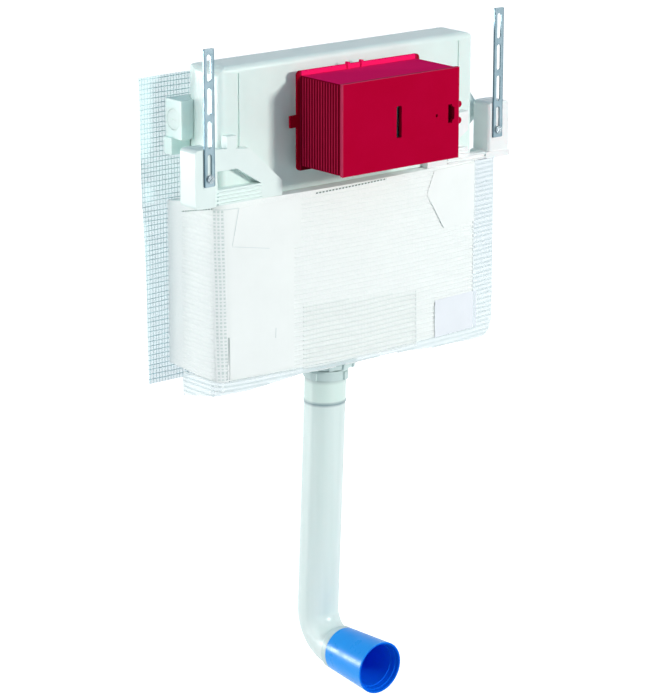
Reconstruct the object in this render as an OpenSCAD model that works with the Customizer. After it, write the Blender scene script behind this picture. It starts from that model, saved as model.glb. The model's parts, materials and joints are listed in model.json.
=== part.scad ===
// Concealed toilet cistern for brickwork: a blow moulded tank in a foam jacket wrapped in
// plaster mesh, two slotted wall straps, a red access box and a flush pipe with a cap.
// X runs to the right, Y towards the wall and Z up. The origin is on the wall plane, in the
// middle of the tank, level with the underside of the foam. All sizes are in millimetres.
// A depth is a distance from the wall, so a point at depth d has Y = -d.

/* [Tank] */
// Width of the upper tank
tank_w = 380; // [374:1:386]
// Depth of the tank's back
tank_back = 3; // [2:0.5:6]
// Depth of the upper tank's front
tank_front = 92; // [90:1:98]
// Height of the tank's top
tank_top = 365; // [362:1:400]
// Wall of the tank
tank_wall = 3; // [2:0.5:4]
// Radius of the upper tank's rear edges
rear_round = 50; // [44:1:54]
// Radius of the upper tank's front edges
front_round = 8; // [5:1:12]
// Radius of the upper tank's top corners, seen from the front
corner_round = 14; // [9:1:20]
// Radius of the lower tank's edges
lower_round = 12; // [6:1:20]
// Width of the grooves in the tank's front
groove_w = 3.5; // [2:0.5:6]
// Depth of the grooves in the tank's front
groove_deep = 1.5; // [0.5:0.1:1.8]
// Distance between the two grooves
groove_gap = 330; // [300:1:340]
// Space between a groove and the tank's top edge
groove_end = 9; // [8.5:0.5:14]

/* [Foam jacket] */
// Width of the foam
foam_w = 397; // [392:1:405]
// Height of the foam
foam_h = 210; // [190:1:215]
// Depth of the foam's front at its two ends
foam_front = 94.5; // [92:0.5:98]
// How far the foam's front bows out in the middle
foam_bow = 12; // [6:1:14]
// Thickness of the foam's sides
foam_side = 12; // [8:1:14]
// Least thickness of the foam's front
foam_face = 8; // [6:1:12]
// Thickness of the foam's floor
foam_floor = 8; // [5:1:12]
// Radius of the foam's front corners
foam_round = 16; // [10:1:24]
// How far the top of the foam's left side drops towards the wall
foam_dip = 11; // [0:1:16]
// How far the foot of the foam's left side rises towards the wall
foam_rise = 6; // [0:0.5:8]

/* [Plaster mesh] */
// Thickness of the mesh
mesh_t = 1.2; // [0.8:0.1:1.4]
// Width of a mesh strand
strand = 3; // [2:0.5:5]
// Width of the back mesh
back_mesh_w = 476; // [440:2:500]
// Top of the back mesh
back_mesh_top = 346; // [300:1:360]
// How far the back mesh reaches below the foam
back_mesh_drop = 16; // [5:1:30]
// How far the front mesh and the side mesh reach below the foam
front_mesh_drop = 20; // [5:1:30]
// Depth where the side mesh begins
side_mesh_start = 29; // [15:1:40]
// How far the front mesh stands out past the foam on the right
front_mesh_margin = 26; // [10:1:32]
// Gaps across the back mesh, an even number
back_gaps = 16; // [8:2:16]
// Gaps up the back mesh
back_rows = 12; // [6:1:14]
// Gaps across the front mesh
front_gaps = 14; // [8:1:18]
// Gaps along the side mesh
side_gaps = 3; // [1:1:4]
// Gaps up the front mesh and the side mesh
front_rows = 8; // [4:1:10]

/* [Straps and brackets] */
// Distance from the tank's side to a strap's middle
strap_out = 27; // [25:1:30]
// Width of a strap
strap_w = 14.5; // [13:0.5:20]
// Thickness of a strap
strap_t = 2; // [1.5:0.5:3]
// Width of a strap's slot
slot_w = 6; // [5:0.5:8]
// Length of a strap's slot
slot_l = 31; // [24:0.5:33]
// Distance from slot to slot
slot_pitch = 37.7; // [36:0.1:42]
// Number of slots in a strap
slot_count = 4; // [3:1:5]
// Distance from a slot to the strap's end
slot_end = 6.3; // [4:0.1:10]
// Height of the strap screw
screw_z = 244.4; // [240:0.1:250]
// Radius of the strap screw's head
screw_head_r = 4.6; // [4:0.1:6]
// Height of the strap screw's head
screw_head_h = 2.6; // [2:0.1:4]
// Length of the strap screw in the bracket
screw_l = 18; // [10:1:22]
// Depth of the bracket's front
bracket_front = 105; // [104:0.5:107]
// Width of the bracket's post
post_w = 31; // [26:1:34]
// How far the post reaches outwards from the strap's middle
post_out = 19; // [15:1:22]
// Depth of the post from front to back
post_deep = 28; // [24:1:30]
// Top of the post
post_top = 278; // [274:1:284]
// Top of the bracket's arm at its inner end
arm_top = 271; // [266:1:273]
// Thickness of the arm
arm_t = 21; // [16:1:23]
// Distance from the middle to the arm's inner end
arm_in = 157; // [150:1:165]
// Distance from the middle to the strut's foot
foot_in = 110; // [108:1:120]
// Height of the bracket's foot
foot_h = 17; // [14:1:20]
// Number of ribs on the bracket's foot
foot_ribs = 4; // [2:1:5]
// Corner radius of the post
post_round = 5; // [2:0.5:8]
// Corner radius of a strap
strap_round = 1.5; // [0.5:0.5:3]
// Width of the strut
strut_w = 18; // [12:1:22]
// How far the arm and the strut lie behind the post's front
web_set = 2.5; // [0.5:0.5:4]
// Rounding of the post's inner front edge
post_edge = 4; // [1:0.5:6]
// Height of the sill under the right post
sill_h = 8; // [5:0.5:10]
// How far the sill stands out past the right post
sill_out = 1.5; // [0.5:0.5:2]
// Distance from the arm's inner end to the stub on it
stub_in = 18; // [14:1:24]
// Width of the stub on the arm
stub_w = 14; // [8:1:16]
// How far the stub reaches above the arm
stub_up = 17; // [8:1:24]
// How far the stub lies behind the post's front
stub_set = 3; // [1:0.5:5]
// Thickness of a rib on the bracket's foot
foot_rib_t = 1.5; // [1:0.1:2.5]

/* [Access box] */
// Width of the access box
box_w = 172; // [160:1:176]
// Lower edge of the access box
box_low = 241.5; // [240:0.5:246]
// Height of the access box
box_h = 104.5; // [98:0.5:108]
// Depth of the access box's front edge
box_front = 178; // [150:1:200]
// Wall of the access box
box_wall = 2.5; // [1.5:0.1:3]
// How far the flange stands out round the box
flange_out = 5.5; // [4:0.5:7]
// Corner radius of the flange
flange_round = 5; // [2:0.5:8]
// Thickness of the flange
flange_t = 3; // [2:0.5:4]
// Width of the tank's access opening
opening_w = 154; // [140:1:156]
// Lower edge of the tank's access opening
opening_low = 249; // [247:0.5:252]
// Height of the tank's access opening
opening_h = 90; // [80:0.5:92]
// Depth of the tank's neck at its front
neck_front = 103.7; // [102:0.1:105]
// Number of ribs on each side of the box
box_ribs = 14; // [8:1:16]
// How far a rib stands out
rib_out = 1.2; // [0.6:0.1:2]
// Thickness of the lid
lid_t = 4.4; // [3:0.1:6]
// Depth of the lid's skirt inside the box
skirt_l = 10; // [6:1:16]
// Width of the lid's slot
lid_slot_w = 7.5; // [5:0.5:10]
// Length of the lid's slot
lid_slot_l = 37; // [20:1:50]
// Radius of the lid's small hole
lid_hole_r = 1.8; // [1:0.1:3]
// Thickness of a rib on the box
rib_t = 1.6; // [1:0.1:2.5]
// Space between a rib's ends and the box's edges
rib_end = 1; // [0.5:0.5:4]
// How far the side lug stands out of the flange
side_lug_out = 10; // [5:1:12]
// Distance from the box's lower edge to the side lug
side_lug_up = 45.5; // [20:0.5:60]
// Height of the side lug
side_lug_h = 14; // [8:1:20]
// Width of a tab on the flange's top
tab_w = 3; // [2:0.5:6]
// Distance of the left tab from the middle
tab_left = 17; // [10:0.5:40]
// Distance of the right tab from the middle
tab_right = 3.5; // [2:0.5:40]
// How far a tab stands up above the flange
tab_up = 2.5; // [1:0.5:6]
// How far a tab stands out in front of the flange
tab_out = 2; // [1:0.5:4]
// Radius of a round lug on the lid's right edge
lid_lug_r = 4; // [2:0.5:5]
// Distance of each round lug from the lid's middle
lid_lug_z = 9.5; // [6:0.5:14]
// Distance of the lid's small hole from the middle
lid_hole_x = 53; // [40:1:60]
// Distance of the lid's notch from the middle
notch_x = 70.5; // [66:0.5:76]
// Width of the lid's notch
notch_w = 9.5; // [5:0.5:10]
// Height of the lid's notch
notch_h = 22; // [12:1:30]
// Corner radius of the lid's notch
notch_round = 1; // [0.5:0.5:2]

/* [Outlet and flush pipe] */
// Depth of the outlet's axis
pipe_depth = 47.5; // [46.5:0.5:48.5]
// Lean of the flush pipe towards the wall, in degrees
pipe_lean = 2.7; // [0:0.1:3]
// Outside radius of the flush pipe
pipe_r = 25; // [22:0.5:26]
// Wall of the flush pipe
pipe_wall = 2; // [1.5:0.5:3]
// Height of the pipe's lower leg below the foam
leg_drop = 374; // [300:1:420]
// Bend radius at the middle of the pipe
bend_r = 40; // [32:1:44]
// How far the pipe's open end reaches past its collar
pipe_past = 7.5; // [4:0.5:12]
// Radius of the collar on the lower leg
collar_r = 27.5; // [27:0.5:29]
// Width of the collar on the lower leg
collar_w = 8; // [5:1:12]
// Radius of the outlet nut
nut_r = 41; // [39:0.5:42]
// How far the outlet nut reaches below the foam
nut_drop = 22; // [18:1:28]
// Radius of the outlet nut's narrow lower end
nut_foot_r = 32.5; // [32:0.5:34]
// Number of grips on the outlet nut
nut_grips = 12; // [6:1:16]
// Height of the lock ring on the pipe
lock_ring_h = 12; // [8:1:14]
// Thickness of the lock ring on the pipe
lock_ring_t = 2; // [1.5:0.5:4]
// Mouth radius of the protective cap
cap_r = 32.5; // [31.5:0.5:35]
// Depth of the cup in the cap's front
cup_deep = 60; // [44:1:70]
// Wall of the protective cap
cap_wall = 2.5; // [1.5:0.1:3]
// Thickness of the outlet nut's rim
rim_t = 3; // [2:0.5:5]
// Height of the outlet nut's rim
rim_h = 6; // [4:0.5:8]
// Width of a grip on the outlet nut
grip_w = 5; // [3:0.5:8]
// Number of lugs on the lock ring
lock_lugs = 4; // [2:1:6]
// Width of a lug on the lock ring
lock_lug_w = 8; // [4:0.5:12]
// How far a lug stands out of the lock ring
lock_lug_out = 2.2; // [1:0.1:4]
// Turn of the lock ring, in degrees
lock_turn = 20; // [0:5:90]
// Distance from the pipe's top to the bead on it
bead_drop = 64; // [50:1:100]
// How far the bead stands out of the pipe
bead_out = 0.6; // [0.3:0.1:1.5]
// Height of the bead
bead_h = 2; // [1:0.5:4]
// Distance from the end of the bend to the collar
collar_gap = 1; // [0.5:0.5:6]
// Distance from the cap's mouth to its first inner ledge
ledge_first = 5; // [3:0.5:8]
// Distance from the first ledge to the second
ledge_next = 7; // [3:0.5:8]
// Width of a ledge in the cap
ledge_w = 1; // [0.5:0.1:1.5]
// How far the cap's inside narrows between ledges
ledge_draft = 0.6; // [0.2:0.1:1]

/* [Flush valve] */
// Outside radius of the valve's threaded spigot
spigot_r = 29.5; // [28.5:0.1:30]
// Radius of the valve's flange
valve_flange_r = 34; // [33:0.5:35]
// Radius of the valve's throat
throat_r = 21; // [18:0.5:22]
// Height of the cage over the tank's floor
cage_h = 100; // [80:1:130]
// Outside radius of the overflow tube
tube_r = 13; // [11:0.5:14]
// Top of the overflow tube
tube_top = 345; // [342:0.5:346]
// Depth of the levers' pin
lever_depth = 76; // [74:0.5:76]
// Height of the levers' pin
lever_z = 330; // [328:0.5:332]
// Radius of the levers' pin
lever_pin_r = 2; // [1.5:0.1:2.5]
// Length of a push arm
push_l = 45; // [30:1:50]
// Distance of the half flush rod from the outlet's axis
half_rod_x = 41; // [40:0.5:46]
// Height of the valve seat over its flange
seat_h = 5; // [3:0.5:8]
// Wall of the valve seat
seat_wall = 3; // [2:0.5:4]
// Number of windows in the cage
cage_windows = 6; // [4:1:8]
// Width of a window in the cage
window_w = 22; // [10:1:23]
// Space under a window
window_low = 8; // [4:1:16]
// Space over a window
window_over = 16; // [10:1:30]
// Thickness of the cage's top
cage_top_t = 4; // [3:0.5:6]
// Radius of the half flush rod
half_rod_r = 3; // [2:0.5:3.5]
// Radius of the weight on the half flush rod
rod_foot_r = 6; // [4:0.5:6.5]
// Height of the weight on the half flush rod
rod_foot_h = 8; // [4:0.5:12]
// How far the half flush rod reaches down into the tank from the cage's top
rod_drop = 40; // [25:1:60]
// Width of a lever
lever_w = 12; // [8:0.5:13]
// Radius of a lever's hub
lever_hub_r = 5; // [4:0.5:6]
// Thickness of a push arm
push_t = 6; // [4:0.5:8]
// Thickness of a lifting arm
lift_t = 5; // [3:0.5:5.5]

/* [Inlet block] */
// How far the inlet block stands out of the tank
block_out = 16; // [12:1:18]
// Depth of the inlet block's back
block_back = 10; // [9:0.5:10.5]
// Depth of the inlet block's front
block_front = 40; // [39.5:0.5:44]
// How far the inlet block reaches above the inlet
block_up = 23; // [18:1:26]
// How far the inlet block reaches below the inlet
block_down = 22; // [18:1:24]
// Height of the lower step on the inlet block
step_h = 19; // [12:1:22]
// Depth of the lower step's front
step_front = 25; // [20:1:34]
// How far the lower step stands out past the block
step_out = 3; // [1:0.5:5]

/* [Fill valve] */
// Distance of the inlet from the wall
inlet_depth = 25; // [24:0.5:26]
// Height of the inlet
inlet_z = 298; // [296:0.5:300]
// Radius of the inlet's thread
inlet_r = 9.3; // [9:0.1:10]
// Length of the inlet's thread
inlet_l = 12.5; // [12:0.5:24]
// Radius of the bore behind the inlet's thread
socket_bore = 8.5; // [8:0.1:8.8]
// Thickness of the cover that keeps dirt out of the water inlet
cover_t = 2; // [1.5:0.1:2.5]
// Length of the coin slot in the inlet's cover
cover_slot_l = 9; // [6:0.5:12]
// Width of the coin slot in the inlet's cover
cover_slot_w = 1.2; // [1:0.1:2.5]
// Depth of the coin slot in the inlet's cover
cover_slot_deep = 0.8; // [0.4:0.1:1]
// Distance of the fill valve from the middle
fill_x = 96; // [94:1:100]
// Depth of the fill valve
fill_depth = 30; // [29:0.5:31]
// Radius of the fill valve's body
fill_r = 11; // [9:0.5:11.5]
// Outside radius of the float
float_r = 22; // [20:0.5:22.5]
// Height of the float
float_h = 60; // [40:1:70]
// Lower edge of the float
float_z = 180; // [160:1:190]
// Distance of the side port plug from the wall
plug_depth = 52; // [48:1:58]
// Height of the side port plug
plug_z = 264; // [258:1:268]
// Radius of the side port plug's grip
plug_r = 21; // [17:0.5:22]
// How far the plug stands out of the tank
plug_out = 25; // [16:1:28]
// Bore of the water's way, as a radius
inlet_bore = 6; // [4:0.5:6.5]
// Thickness of the inlet nut
inlet_nut_t = 7; // [5:0.5:9]
// Corner radius of the inlet nut
inlet_nut_r = 17; // [15:0.5:17.5]
// Length of the stop valve
stop_l = 22; // [20:0.5:26]
// Radius of the stop valve's body
stop_r = 10; // [8:0.5:12]
// Radius of the stop valve's bonnet
bonnet_r = 7; // [5:0.5:8]
// Reach of the bonnet from the inlet's axis
bonnet_l = 20; // [16:1:26]
// Radius of the stop valve's shaft
shaft_r = 3; // [2:0.5:4]
// Length of the shaft in the bonnet
shaft_l = 8; // [5:0.5:9]
// Length of the stop valve's handle
handle_l = 28; // [20:1:32]
// Width of the stop valve's handle
handle_w = 7; // [5:0.5:8]
// Radius of the supply tube
supply_r = 8; // [7:0.5:9]
// Thickness of the flange under the float
fill_foot_t = 6; // [4:0.5:8]
// How far that flange stands out of the fill valve's body
fill_foot_out = 6; // [3:0.5:8]
// How far the fill valve's cap stands out of its body
fill_cap_out = 3; // [1:0.5:3.5]
// Thickness of the fill valve's cap
fill_cap_t = 4; // [3:0.5:6]
// Thickness of an ear on the cap
arm_ear_t = 3; // [2:0.5:4]
// Width across the two ears
arm_ears_w = 16; // [14:0.5:18]
// Radius of the arm's pin
arm_pin_r = 1.5; // [1:0.1:2]
// Thickness of the valve arm
valve_arm_t = 4; // [3:0.5:5]
// Width of the valve arm
valve_arm_w = 8; // [5:0.5:8.5]
// Reach of the valve arm from its pin
arm_reach = 44; // [36:1:48]
// Wall of the float
float_wall = 2; // [1:0.5:3]
// Radius of the float's post
float_post_r = 2; // [1:0.5:2.5]
// Radius of the port plug's spigot
plug_spigot_r = 11.8; // [9:0.1:13]
// Length of the port plug's neck
plug_neck_l = 8; // [4:0.5:12]
// How far the port plug's grip stands out of its neck
plug_grip_out = 5; // [3:0.5:5]

/* [Hidden] */
$fn = 96;

// Clearances
gap = 0.3;      // between parts that lie beside each other
run = 0.05;     // radial, of a pin in its bore
loose = 0.1;    // radial, of a fixed ring on its thread
touch = 0.2;    // between a strap and its bracket
over = 1;       // how far a cutter runs past a face
nut_room = 2;   // radial, of the outlet nut in the foam
spigot_room = 0.5; // radial, of the valve's spigot in the tank's floor
rod_room = 0.5; // between the half flush rod and the arm that lifts it
lever_room = 1; // between the overflow tube and the full flush lever

// Tank
upper_z = foam_h + over;
lower_w = foam_w - 2 * foam_side - 2 * gap;
lower_front = foam_front - foam_face - gap;
tank_floor = foam_floor + tank_wall;
inner_front = tank_front - tank_wall;
groove_low = arm_top - over;
groove_high = tank_top - groove_end;

// Foam
bow_r = (foam_w * foam_w / 4 + foam_bow * foam_bow) / (2 * foam_bow);
bow_front = foam_front + foam_bow;
bow_y = bow_r - bow_front;
corner_x = foam_w / 2 - foam_round;
corner_depth = sqrt(pow(bow_r - foam_round, 2) - corner_x * corner_x) - bow_y;
mesh_split = -corner_x * bow_r / (bow_r - foam_round);
foam_back = mesh_t + gap;
foam_hole_r = nut_r + nut_room;
bow_fn = 720;

// Access opening, from the neck outwards to the lid
opening_high = opening_low + opening_h;
box_high = box_low + box_h;
flange_back = neck_front + gap;
flange_front = flange_back + flange_t;
lid_back = box_front + gap;
lid_front = lid_back + lid_t;
lid_over = 1;
tongue_lap = 2;
tongue_back = tank_front - tongue_lap;

// Straps and brackets
foot_lift = 0.5;
strut_foot = 1.7;
window_set = 2;
strap_x = tank_w / 2 + strap_out;
strap_back = bracket_front + touch;
strap_front = strap_back + strap_t;
strap_low = screw_z - slot_w / 2 - slot_end;
strap_l = slot_l + (slot_count - 1) * slot_pitch + 2 * slot_end;
screw_r = slot_w / 2 - gap;
thread_step = 0.4;
thread_r = screw_r - thread_step;
head_back = strap_front + touch;
head_front = head_back + screw_head_h;
drive_w = screw_head_r / 4;
drive_deep = screw_head_h / 2;

// Outlet
leg_z = -leg_drop;
spigot_set = 2;
spigot_low = -nut_drop + spigot_set;
pipe_top_z = -3;
socket_r = pipe_r + gap + (pipe_top_z - spigot_low) * sin(pipe_lean);
seal_t = 3;
seal_low = pipe_top_z + gap + pipe_r * sin(pipe_lean);
nut_high = foam_floor - gap;
lock_high = -nut_drop - spigot_set;
bend_end = pipe_depth + bend_r;
collar_back = bend_end + collar_gap;
cap_back = collar_back + collar_w + gap;
pipe_end = collar_back + collar_w + pipe_past;
cap_web = pipe_end + gap;
cap_web_t = cap_wall;
cup_floor = cap_web + cap_web_t;
cap_front = cup_floor + cup_deep;

// Flush valve
gasket_t = 2;
base_low = tank_floor + gasket_t;
base_t = 4;
base_high = base_low + base_t;
seat_z = base_high + seat_h;
seal_lap = 5;
flush_seal_r = throat_r + seal_lap;
flush_seal_t = 3.5;
flange_lip = 1;
cage_r = valve_flange_r - flange_lip;
cage_wall = 2;
cage_high = base_high + cage_h;
tube_wall = 2;
tube_bore = tube_r - tube_wall;
tube_foot_set = 4;
tube_foot_r = flush_seal_r - tube_foot_set;
tube_foot_t = 3;
tube_low = seat_z + gap + flush_seal_t;
lift_high = lever_z + lift_t / 2;
head_low = lift_high + gap;
head_t = 4;
head_out = 9;
head_r = tube_r + head_out;
bridge_t = 4;
bridge_up = 2;
bridge_low = opening_high + bridge_up;
bridge_high = tank_top - front_round - gap;
bridge_end = 12;
ear_t = 4;
ear_half = 8;
full_x = -tube_r - lever_room - lever_w / 2;
half_set = 2;
half_x = half_rod_x + half_set;
left_ear = full_x - lever_w / 2 - gap - ear_t;
right_ear = half_x + lever_w / 2 + gap;
rod_head_half = 6;
rod_head_right = 8;

// The tank's inner wall at depth d, measured on the left where its rear corner is round
function inner_left(d) = -tank_w / 2 + rear_round
    - sqrt(pow(rear_round - tank_wall, 2) - pow(tank_back + rear_round - d, 2));

// Fill valve, on the left
inlet_x = -tank_w / 2 - block_out;
boss_r = 14.5;
boss_lip = 2;
boss_in = round(inner_left(inlet_depth - boss_r)) + boss_lip;
socket_set = cover_t + gap + touch;
socket_low = inlet_x + socket_set;
socket_wall = 2.7;
socket_out_r = inlet_r + socket_wall;
stop_low = boss_in + inlet_nut_t;
stop_high = stop_low + stop_l;
stop_mid = stop_low + stop_l / 2;
handle_back = inlet_depth + bonnet_l + gap;
handle_t = 6;
hub_l = 8;
hub_r = 6;
branch = 9;
branch_out = 1;
tube_in = -fill_x - fill_r - branch_out;
fill_low = float_z - fill_foot_t - gap;
fill_up = 14;
fill_high = inlet_z + fill_up;
fill_roof = 6;
arm_up = 10;
arm_z = fill_high + arm_up;
arm_hub_r = 4;
arm_pivot = tube_in;
float_post_set = 4;
post_x = -fill_x + float_r - float_post_set;
slide_ease = 0.5;
float_roof = 3;

// Side port on the right
plug_hole_r = plug_spigot_r + touch;
plug_neck_r = plug_r - plug_grip_out;
plug_sides = 8;

// A point at depth d from the wall
module at(x, d, z) {
    translate([x, -d, z]) children();
}

// A box between two sides, two depths and two heights
module block(x0, x1, d0, d1, z0, z1) {
    translate([x0, -d1, z0]) cube([x1 - x0, d1 - d0, z1 - z0]);
}

// A front outline, drawn in X and Z, pushed forward from depth d0 to depth d1
module forward(d0, d1) {
    translate([0, -d0, 0]) rotate([90, 0, 0]) linear_extrude(d1 - d0) children();
}

// A round bar from depth d0 to depth d1
module forward_bar(x, z, d0, d1, r) {
    at(x, d0, z) rotate([90, 0, 0]) cylinder(r = r, h = d1 - d0);
}

// A round bar from x0 to x1
module across_bar(x0, x1, d, z, r) {
    at(x0, d, z) rotate([0, 90, 0]) cylinder(r = r, h = x1 - x0);
}

// A ring round a vertical axis
module ring(x, d, z0, z1, r_out, r_in) {
    at(x, d, z0) difference() {
        cylinder(r = r_out, h = z1 - z0);
        translate([0, 0, -over]) cylinder(r = r_in, h = z1 - z0 + 2 * over);
    }
}

// A rectangle with round corners
module round_rect(x0, x1, y0, y1, r) {
    translate([x0 + r, y0]) square([x1 - x0 - 2 * r, y1 - y0]);
    translate([x0, y0 + r]) square([x1 - x0, y1 - y0 - 2 * r]);
    for (x = [x0 + r, x1 - r], y = [y0 + r, y1 - r]) translate([x, y]) circle(r);
}

// A plan outline with one radius at the back and another at the front
module plan(w, back, front, rb, rf) {
    translate([-w / 2, -(front - rf)]) square([w, front - rf - back - rb]);
    translate([-w / 2 + rf, -front]) square([w - 2 * rf, front - back - rb]);
    translate([-w / 2 + rb, -(front - rf)]) square([w - 2 * rb, front - rf - back]);
    for (s = [-1, 1]) {
        translate([s * (w / 2 - rf), -(front - rf)]) circle(rf);
        translate([s * (w / 2 - rb), -(back + rb)]) half_circle(rb);
    }
}

// The half of a circle where y is positive
module half_circle(r) {
    intersection() {
        circle(r);
        translate([-r, 0]) square([2 * r, r]);
    }
}

// The upper tank's block, drawn in by t on every side
module upper_block(t, z0) {
    w = tank_w - 2 * t;
    top = tank_top - t;
    back = tank_back + t;
    front = tank_front - t;
    rb = rear_round - t;
    rf = front_round - t;
    intersection() {
        translate([0, 0, z0]) linear_extrude(top - z0) plan(w, back, front, rb, rf);
        translate([-w / 2, 0, 0]) rotate([90, 0, 90]) linear_extrude(w)
            round_side(back, front, z0, top, rb, rf);
        forward(back - over, front + over) round_top(w, z0, top, corner_round - t);
    }
}

// A front outline with round top corners
module round_top(w, z0, top, r) {
    translate([-w / 2, z0]) square([w, top - r - z0]);
    translate([-w / 2 + r, z0]) square([w - 2 * r, top - z0]);
    for (s = [-1, 1]) translate([s * (w / 2 - r), top - r]) circle(r);
}

// A side outline with a wide round at the top rear edge and a small one at the top front edge
module round_side(back, front, z0, top, rb, rf) {
    translate([-front, z0]) square([front - back, top - rb - z0]);
    translate([-front, z0]) square([front - back - rb, top - rf - z0]);
    translate([-front + rf, z0]) square([front - back - rb - rf, top - z0]);
    translate([-front + rf, top - rf]) circle(rf);
    translate([-back - rb, top - rb]) rotate(-90) half_circle(rb);
}

// The plan of the lower tank, drawn in by t
module lower_plan(t) {
    plan(lower_w - 2 * t, tank_back + t, lower_front - t, lower_round - t, lower_round - t);
}

// The foam's plan, grown by g: a bowed front that runs smoothly into round corners
module foam_plan(g) {
    half = foam_w / 2 + g;
    tangent = corner_x * (bow_r + g) / (bow_r - foam_round);
    translate([-half, -corner_depth]) square([2 * half, corner_depth - foam_back]);
    for (s = [-1, 1]) translate([s * corner_x, -corner_depth]) circle(foam_round + g);
    intersection() {
        translate([0, bow_y]) circle(bow_r + g, $fn = bow_fn);
        translate([-tangent, -2 * bow_front]) square([2 * tangent, 2 * bow_front - foam_back]);
    }
}

module tank_walls() {
    difference() {
        union() {
            upper_block(0, upper_z);
            translate([0, 0, foam_floor]) linear_extrude(upper_z + tank_wall - foam_floor) lower_plan(0);
            across_bar(tank_w / 2 - rear_round / 2, tank_w / 2, plug_depth, plug_z, plug_neck_r);
            block(-opening_w / 2 - tank_wall, opening_w / 2 + tank_wall, inner_front, neck_front,
                opening_low - tank_wall, opening_high + tank_wall);
        }
        upper_block(tank_wall, upper_z + tank_wall);
        translate([0, 0, tank_floor]) linear_extrude(upper_z - tank_floor) lower_plan(tank_wall);
        translate([0, 0, upper_z - over]) linear_extrude(tank_wall + 2 * over) intersection() {
            lower_plan(tank_wall);
            plan(tank_w - 2 * tank_wall, tank_back + tank_wall, inner_front,
                rear_round - tank_wall, front_round - tank_wall);
        }
    }
}

module tank() {
    color("#eef1ee") difference() {
        tank_walls();
        block(-opening_w / 2, opening_w / 2, inner_front - over, neck_front + over,
            opening_low, opening_high);
        for (s = [-1, 1]) translate([s * groove_gap / 2, 0, 0])
            block(-groove_w / 2, groove_w / 2, tank_front - groove_deep, tank_front + over,
                groove_low, groove_high);
        at(0, pipe_depth, foam_floor - over) cylinder(r = spigot_r + spigot_room, h = tank_wall + 2 * over);
        across_bar(inlet_x, boss_in + over, inlet_depth, inlet_z, boss_r + loose);
        across_bar(tank_w / 2 - rear_round, tank_w / 2 + over, plug_depth, plug_z, plug_hole_r);
    }
}

// The block on the tank's left side that holds the water inlet, with a boss through the tank's wall
module inlet_block() {
    block_low = inlet_z - block_down;
    color("#eef1ee") difference() {
        union() {
            difference() {
                union() {
                    block(inlet_x, boss_in, block_back, block_front, block_low, inlet_z + block_up);
                    block(inlet_x - step_out, boss_in, block_back, step_front,
                        block_low - step_h, block_low + over);
                }
                upper_block(-gap, upper_z);
            }
            across_bar(inlet_x + over, boss_in, inlet_depth, inlet_z, boss_r);
        }
        across_bar(inlet_x - over, boss_in + over, inlet_depth, inlet_z, socket_out_r + loose);
    }
}

module foam_jacket() {
    color("#f4f5f2") difference() {
        linear_extrude(foam_h) foam_plan(0);
        translate([0, 0, foam_floor]) linear_extrude(foam_h)
            plan(lower_w + 2 * gap, foam_back - 2 * lower_round - over, lower_front + gap,
                lower_round, lower_round);
        at(0, pipe_depth, -over) cylinder(r = foam_hole_r, h = foam_floor + 2 * over);
        left_slope(foam_side + over, foam_h - foam_dip, foam_h, foam_h + over);
        left_slope(foam_side - over, foam_rise, 0, -over);
    }
}

// Cuts the foam's left side, for a width, along a slope from one height at the wall to another near the front
module left_slope(wide, at_wall, at_front, beyond) {
    far = foam_front - foam_round;
    translate([-foam_w, 0, 0]) rotate([90, 0, 90])
        linear_extrude(foam_w / 2 + wide)
            polygon([[over, at_wall], [-far, at_front], [-far, beyond], [over, beyond]]);
}

// The bowed mesh sheet in front of the foam, running on past the right edge
module front_sheet() {
    intersection() {
        translate([0, bow_y]) difference() {
            circle(bow_r + gap + mesh_t, $fn = bow_fn);
            circle(bow_r + gap, $fn = bow_fn);
        }
        translate([mesh_split, -2 * bow_front])
            square([foam_w / 2 + front_mesh_margin - mesh_split, 2 * bow_front]);
    }
}

// The mesh sheet on the foam's left side and round its front corner
module side_sheet() {
    difference() {
        foam_plan(gap + mesh_t);
        foam_plan(gap);
        translate([-foam_w, -side_mesh_start]) square([2 * foam_w, foam_w]);
        translate([mesh_split, -2 * bow_front]) square([2 * foam_w, 2 * bow_front]);
    }
}

module front_mesh() {
    low = -front_mesh_drop;
    row = (foam_h - low - strand) / front_rows;
    column = (foam_w / 2 + front_mesh_margin - mesh_split - strand) / front_gaps;
    color("#e3eef2") difference() {
        translate([0, 0, low]) linear_extrude(foam_h - low) front_sheet();
        for (j = [0 : front_rows - 1], i = [0 : front_gaps - 1])
            block(mesh_split + strand + i * column, mesh_split + (i + 1) * column, corner_depth,
                2 * bow_front, low + strand + j * row, low + (j + 1) * row);
    }
}

module side_mesh() {
    low = -front_mesh_drop;
    row = (foam_h - low - strand) / front_rows;
    column = (corner_depth - side_mesh_start - strand) / side_gaps;
    color("#e3eef2") difference() {
        translate([0, 0, low]) linear_extrude(foam_h - low) side_sheet();
        for (j = [0 : front_rows - 1], i = [0 : side_gaps - 1])
            block(-foam_w, -corner_x, side_mesh_start + strand + i * column,
                side_mesh_start + (i + 1) * column, low + strand + j * row, low + (j + 1) * row);
    }
}

module back_mesh() {
    low = -back_mesh_drop;
    row = (back_mesh_top - low - strand) / back_rows;
    column = (back_mesh_w - strand) / back_gaps;
    color("#dfe9ea") difference() {
        block(-back_mesh_w / 2, back_mesh_w / 2, 0, mesh_t, low, back_mesh_top);
        for (i = [0 : back_gaps - 1], j = [0 : back_rows - 1])
            block(-back_mesh_w / 2 + strand + i * column, -back_mesh_w / 2 + (i + 1) * column,
                -over, mesh_t + over, low + strand + j * row, low + (j + 1) * row);
    }
}

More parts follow.
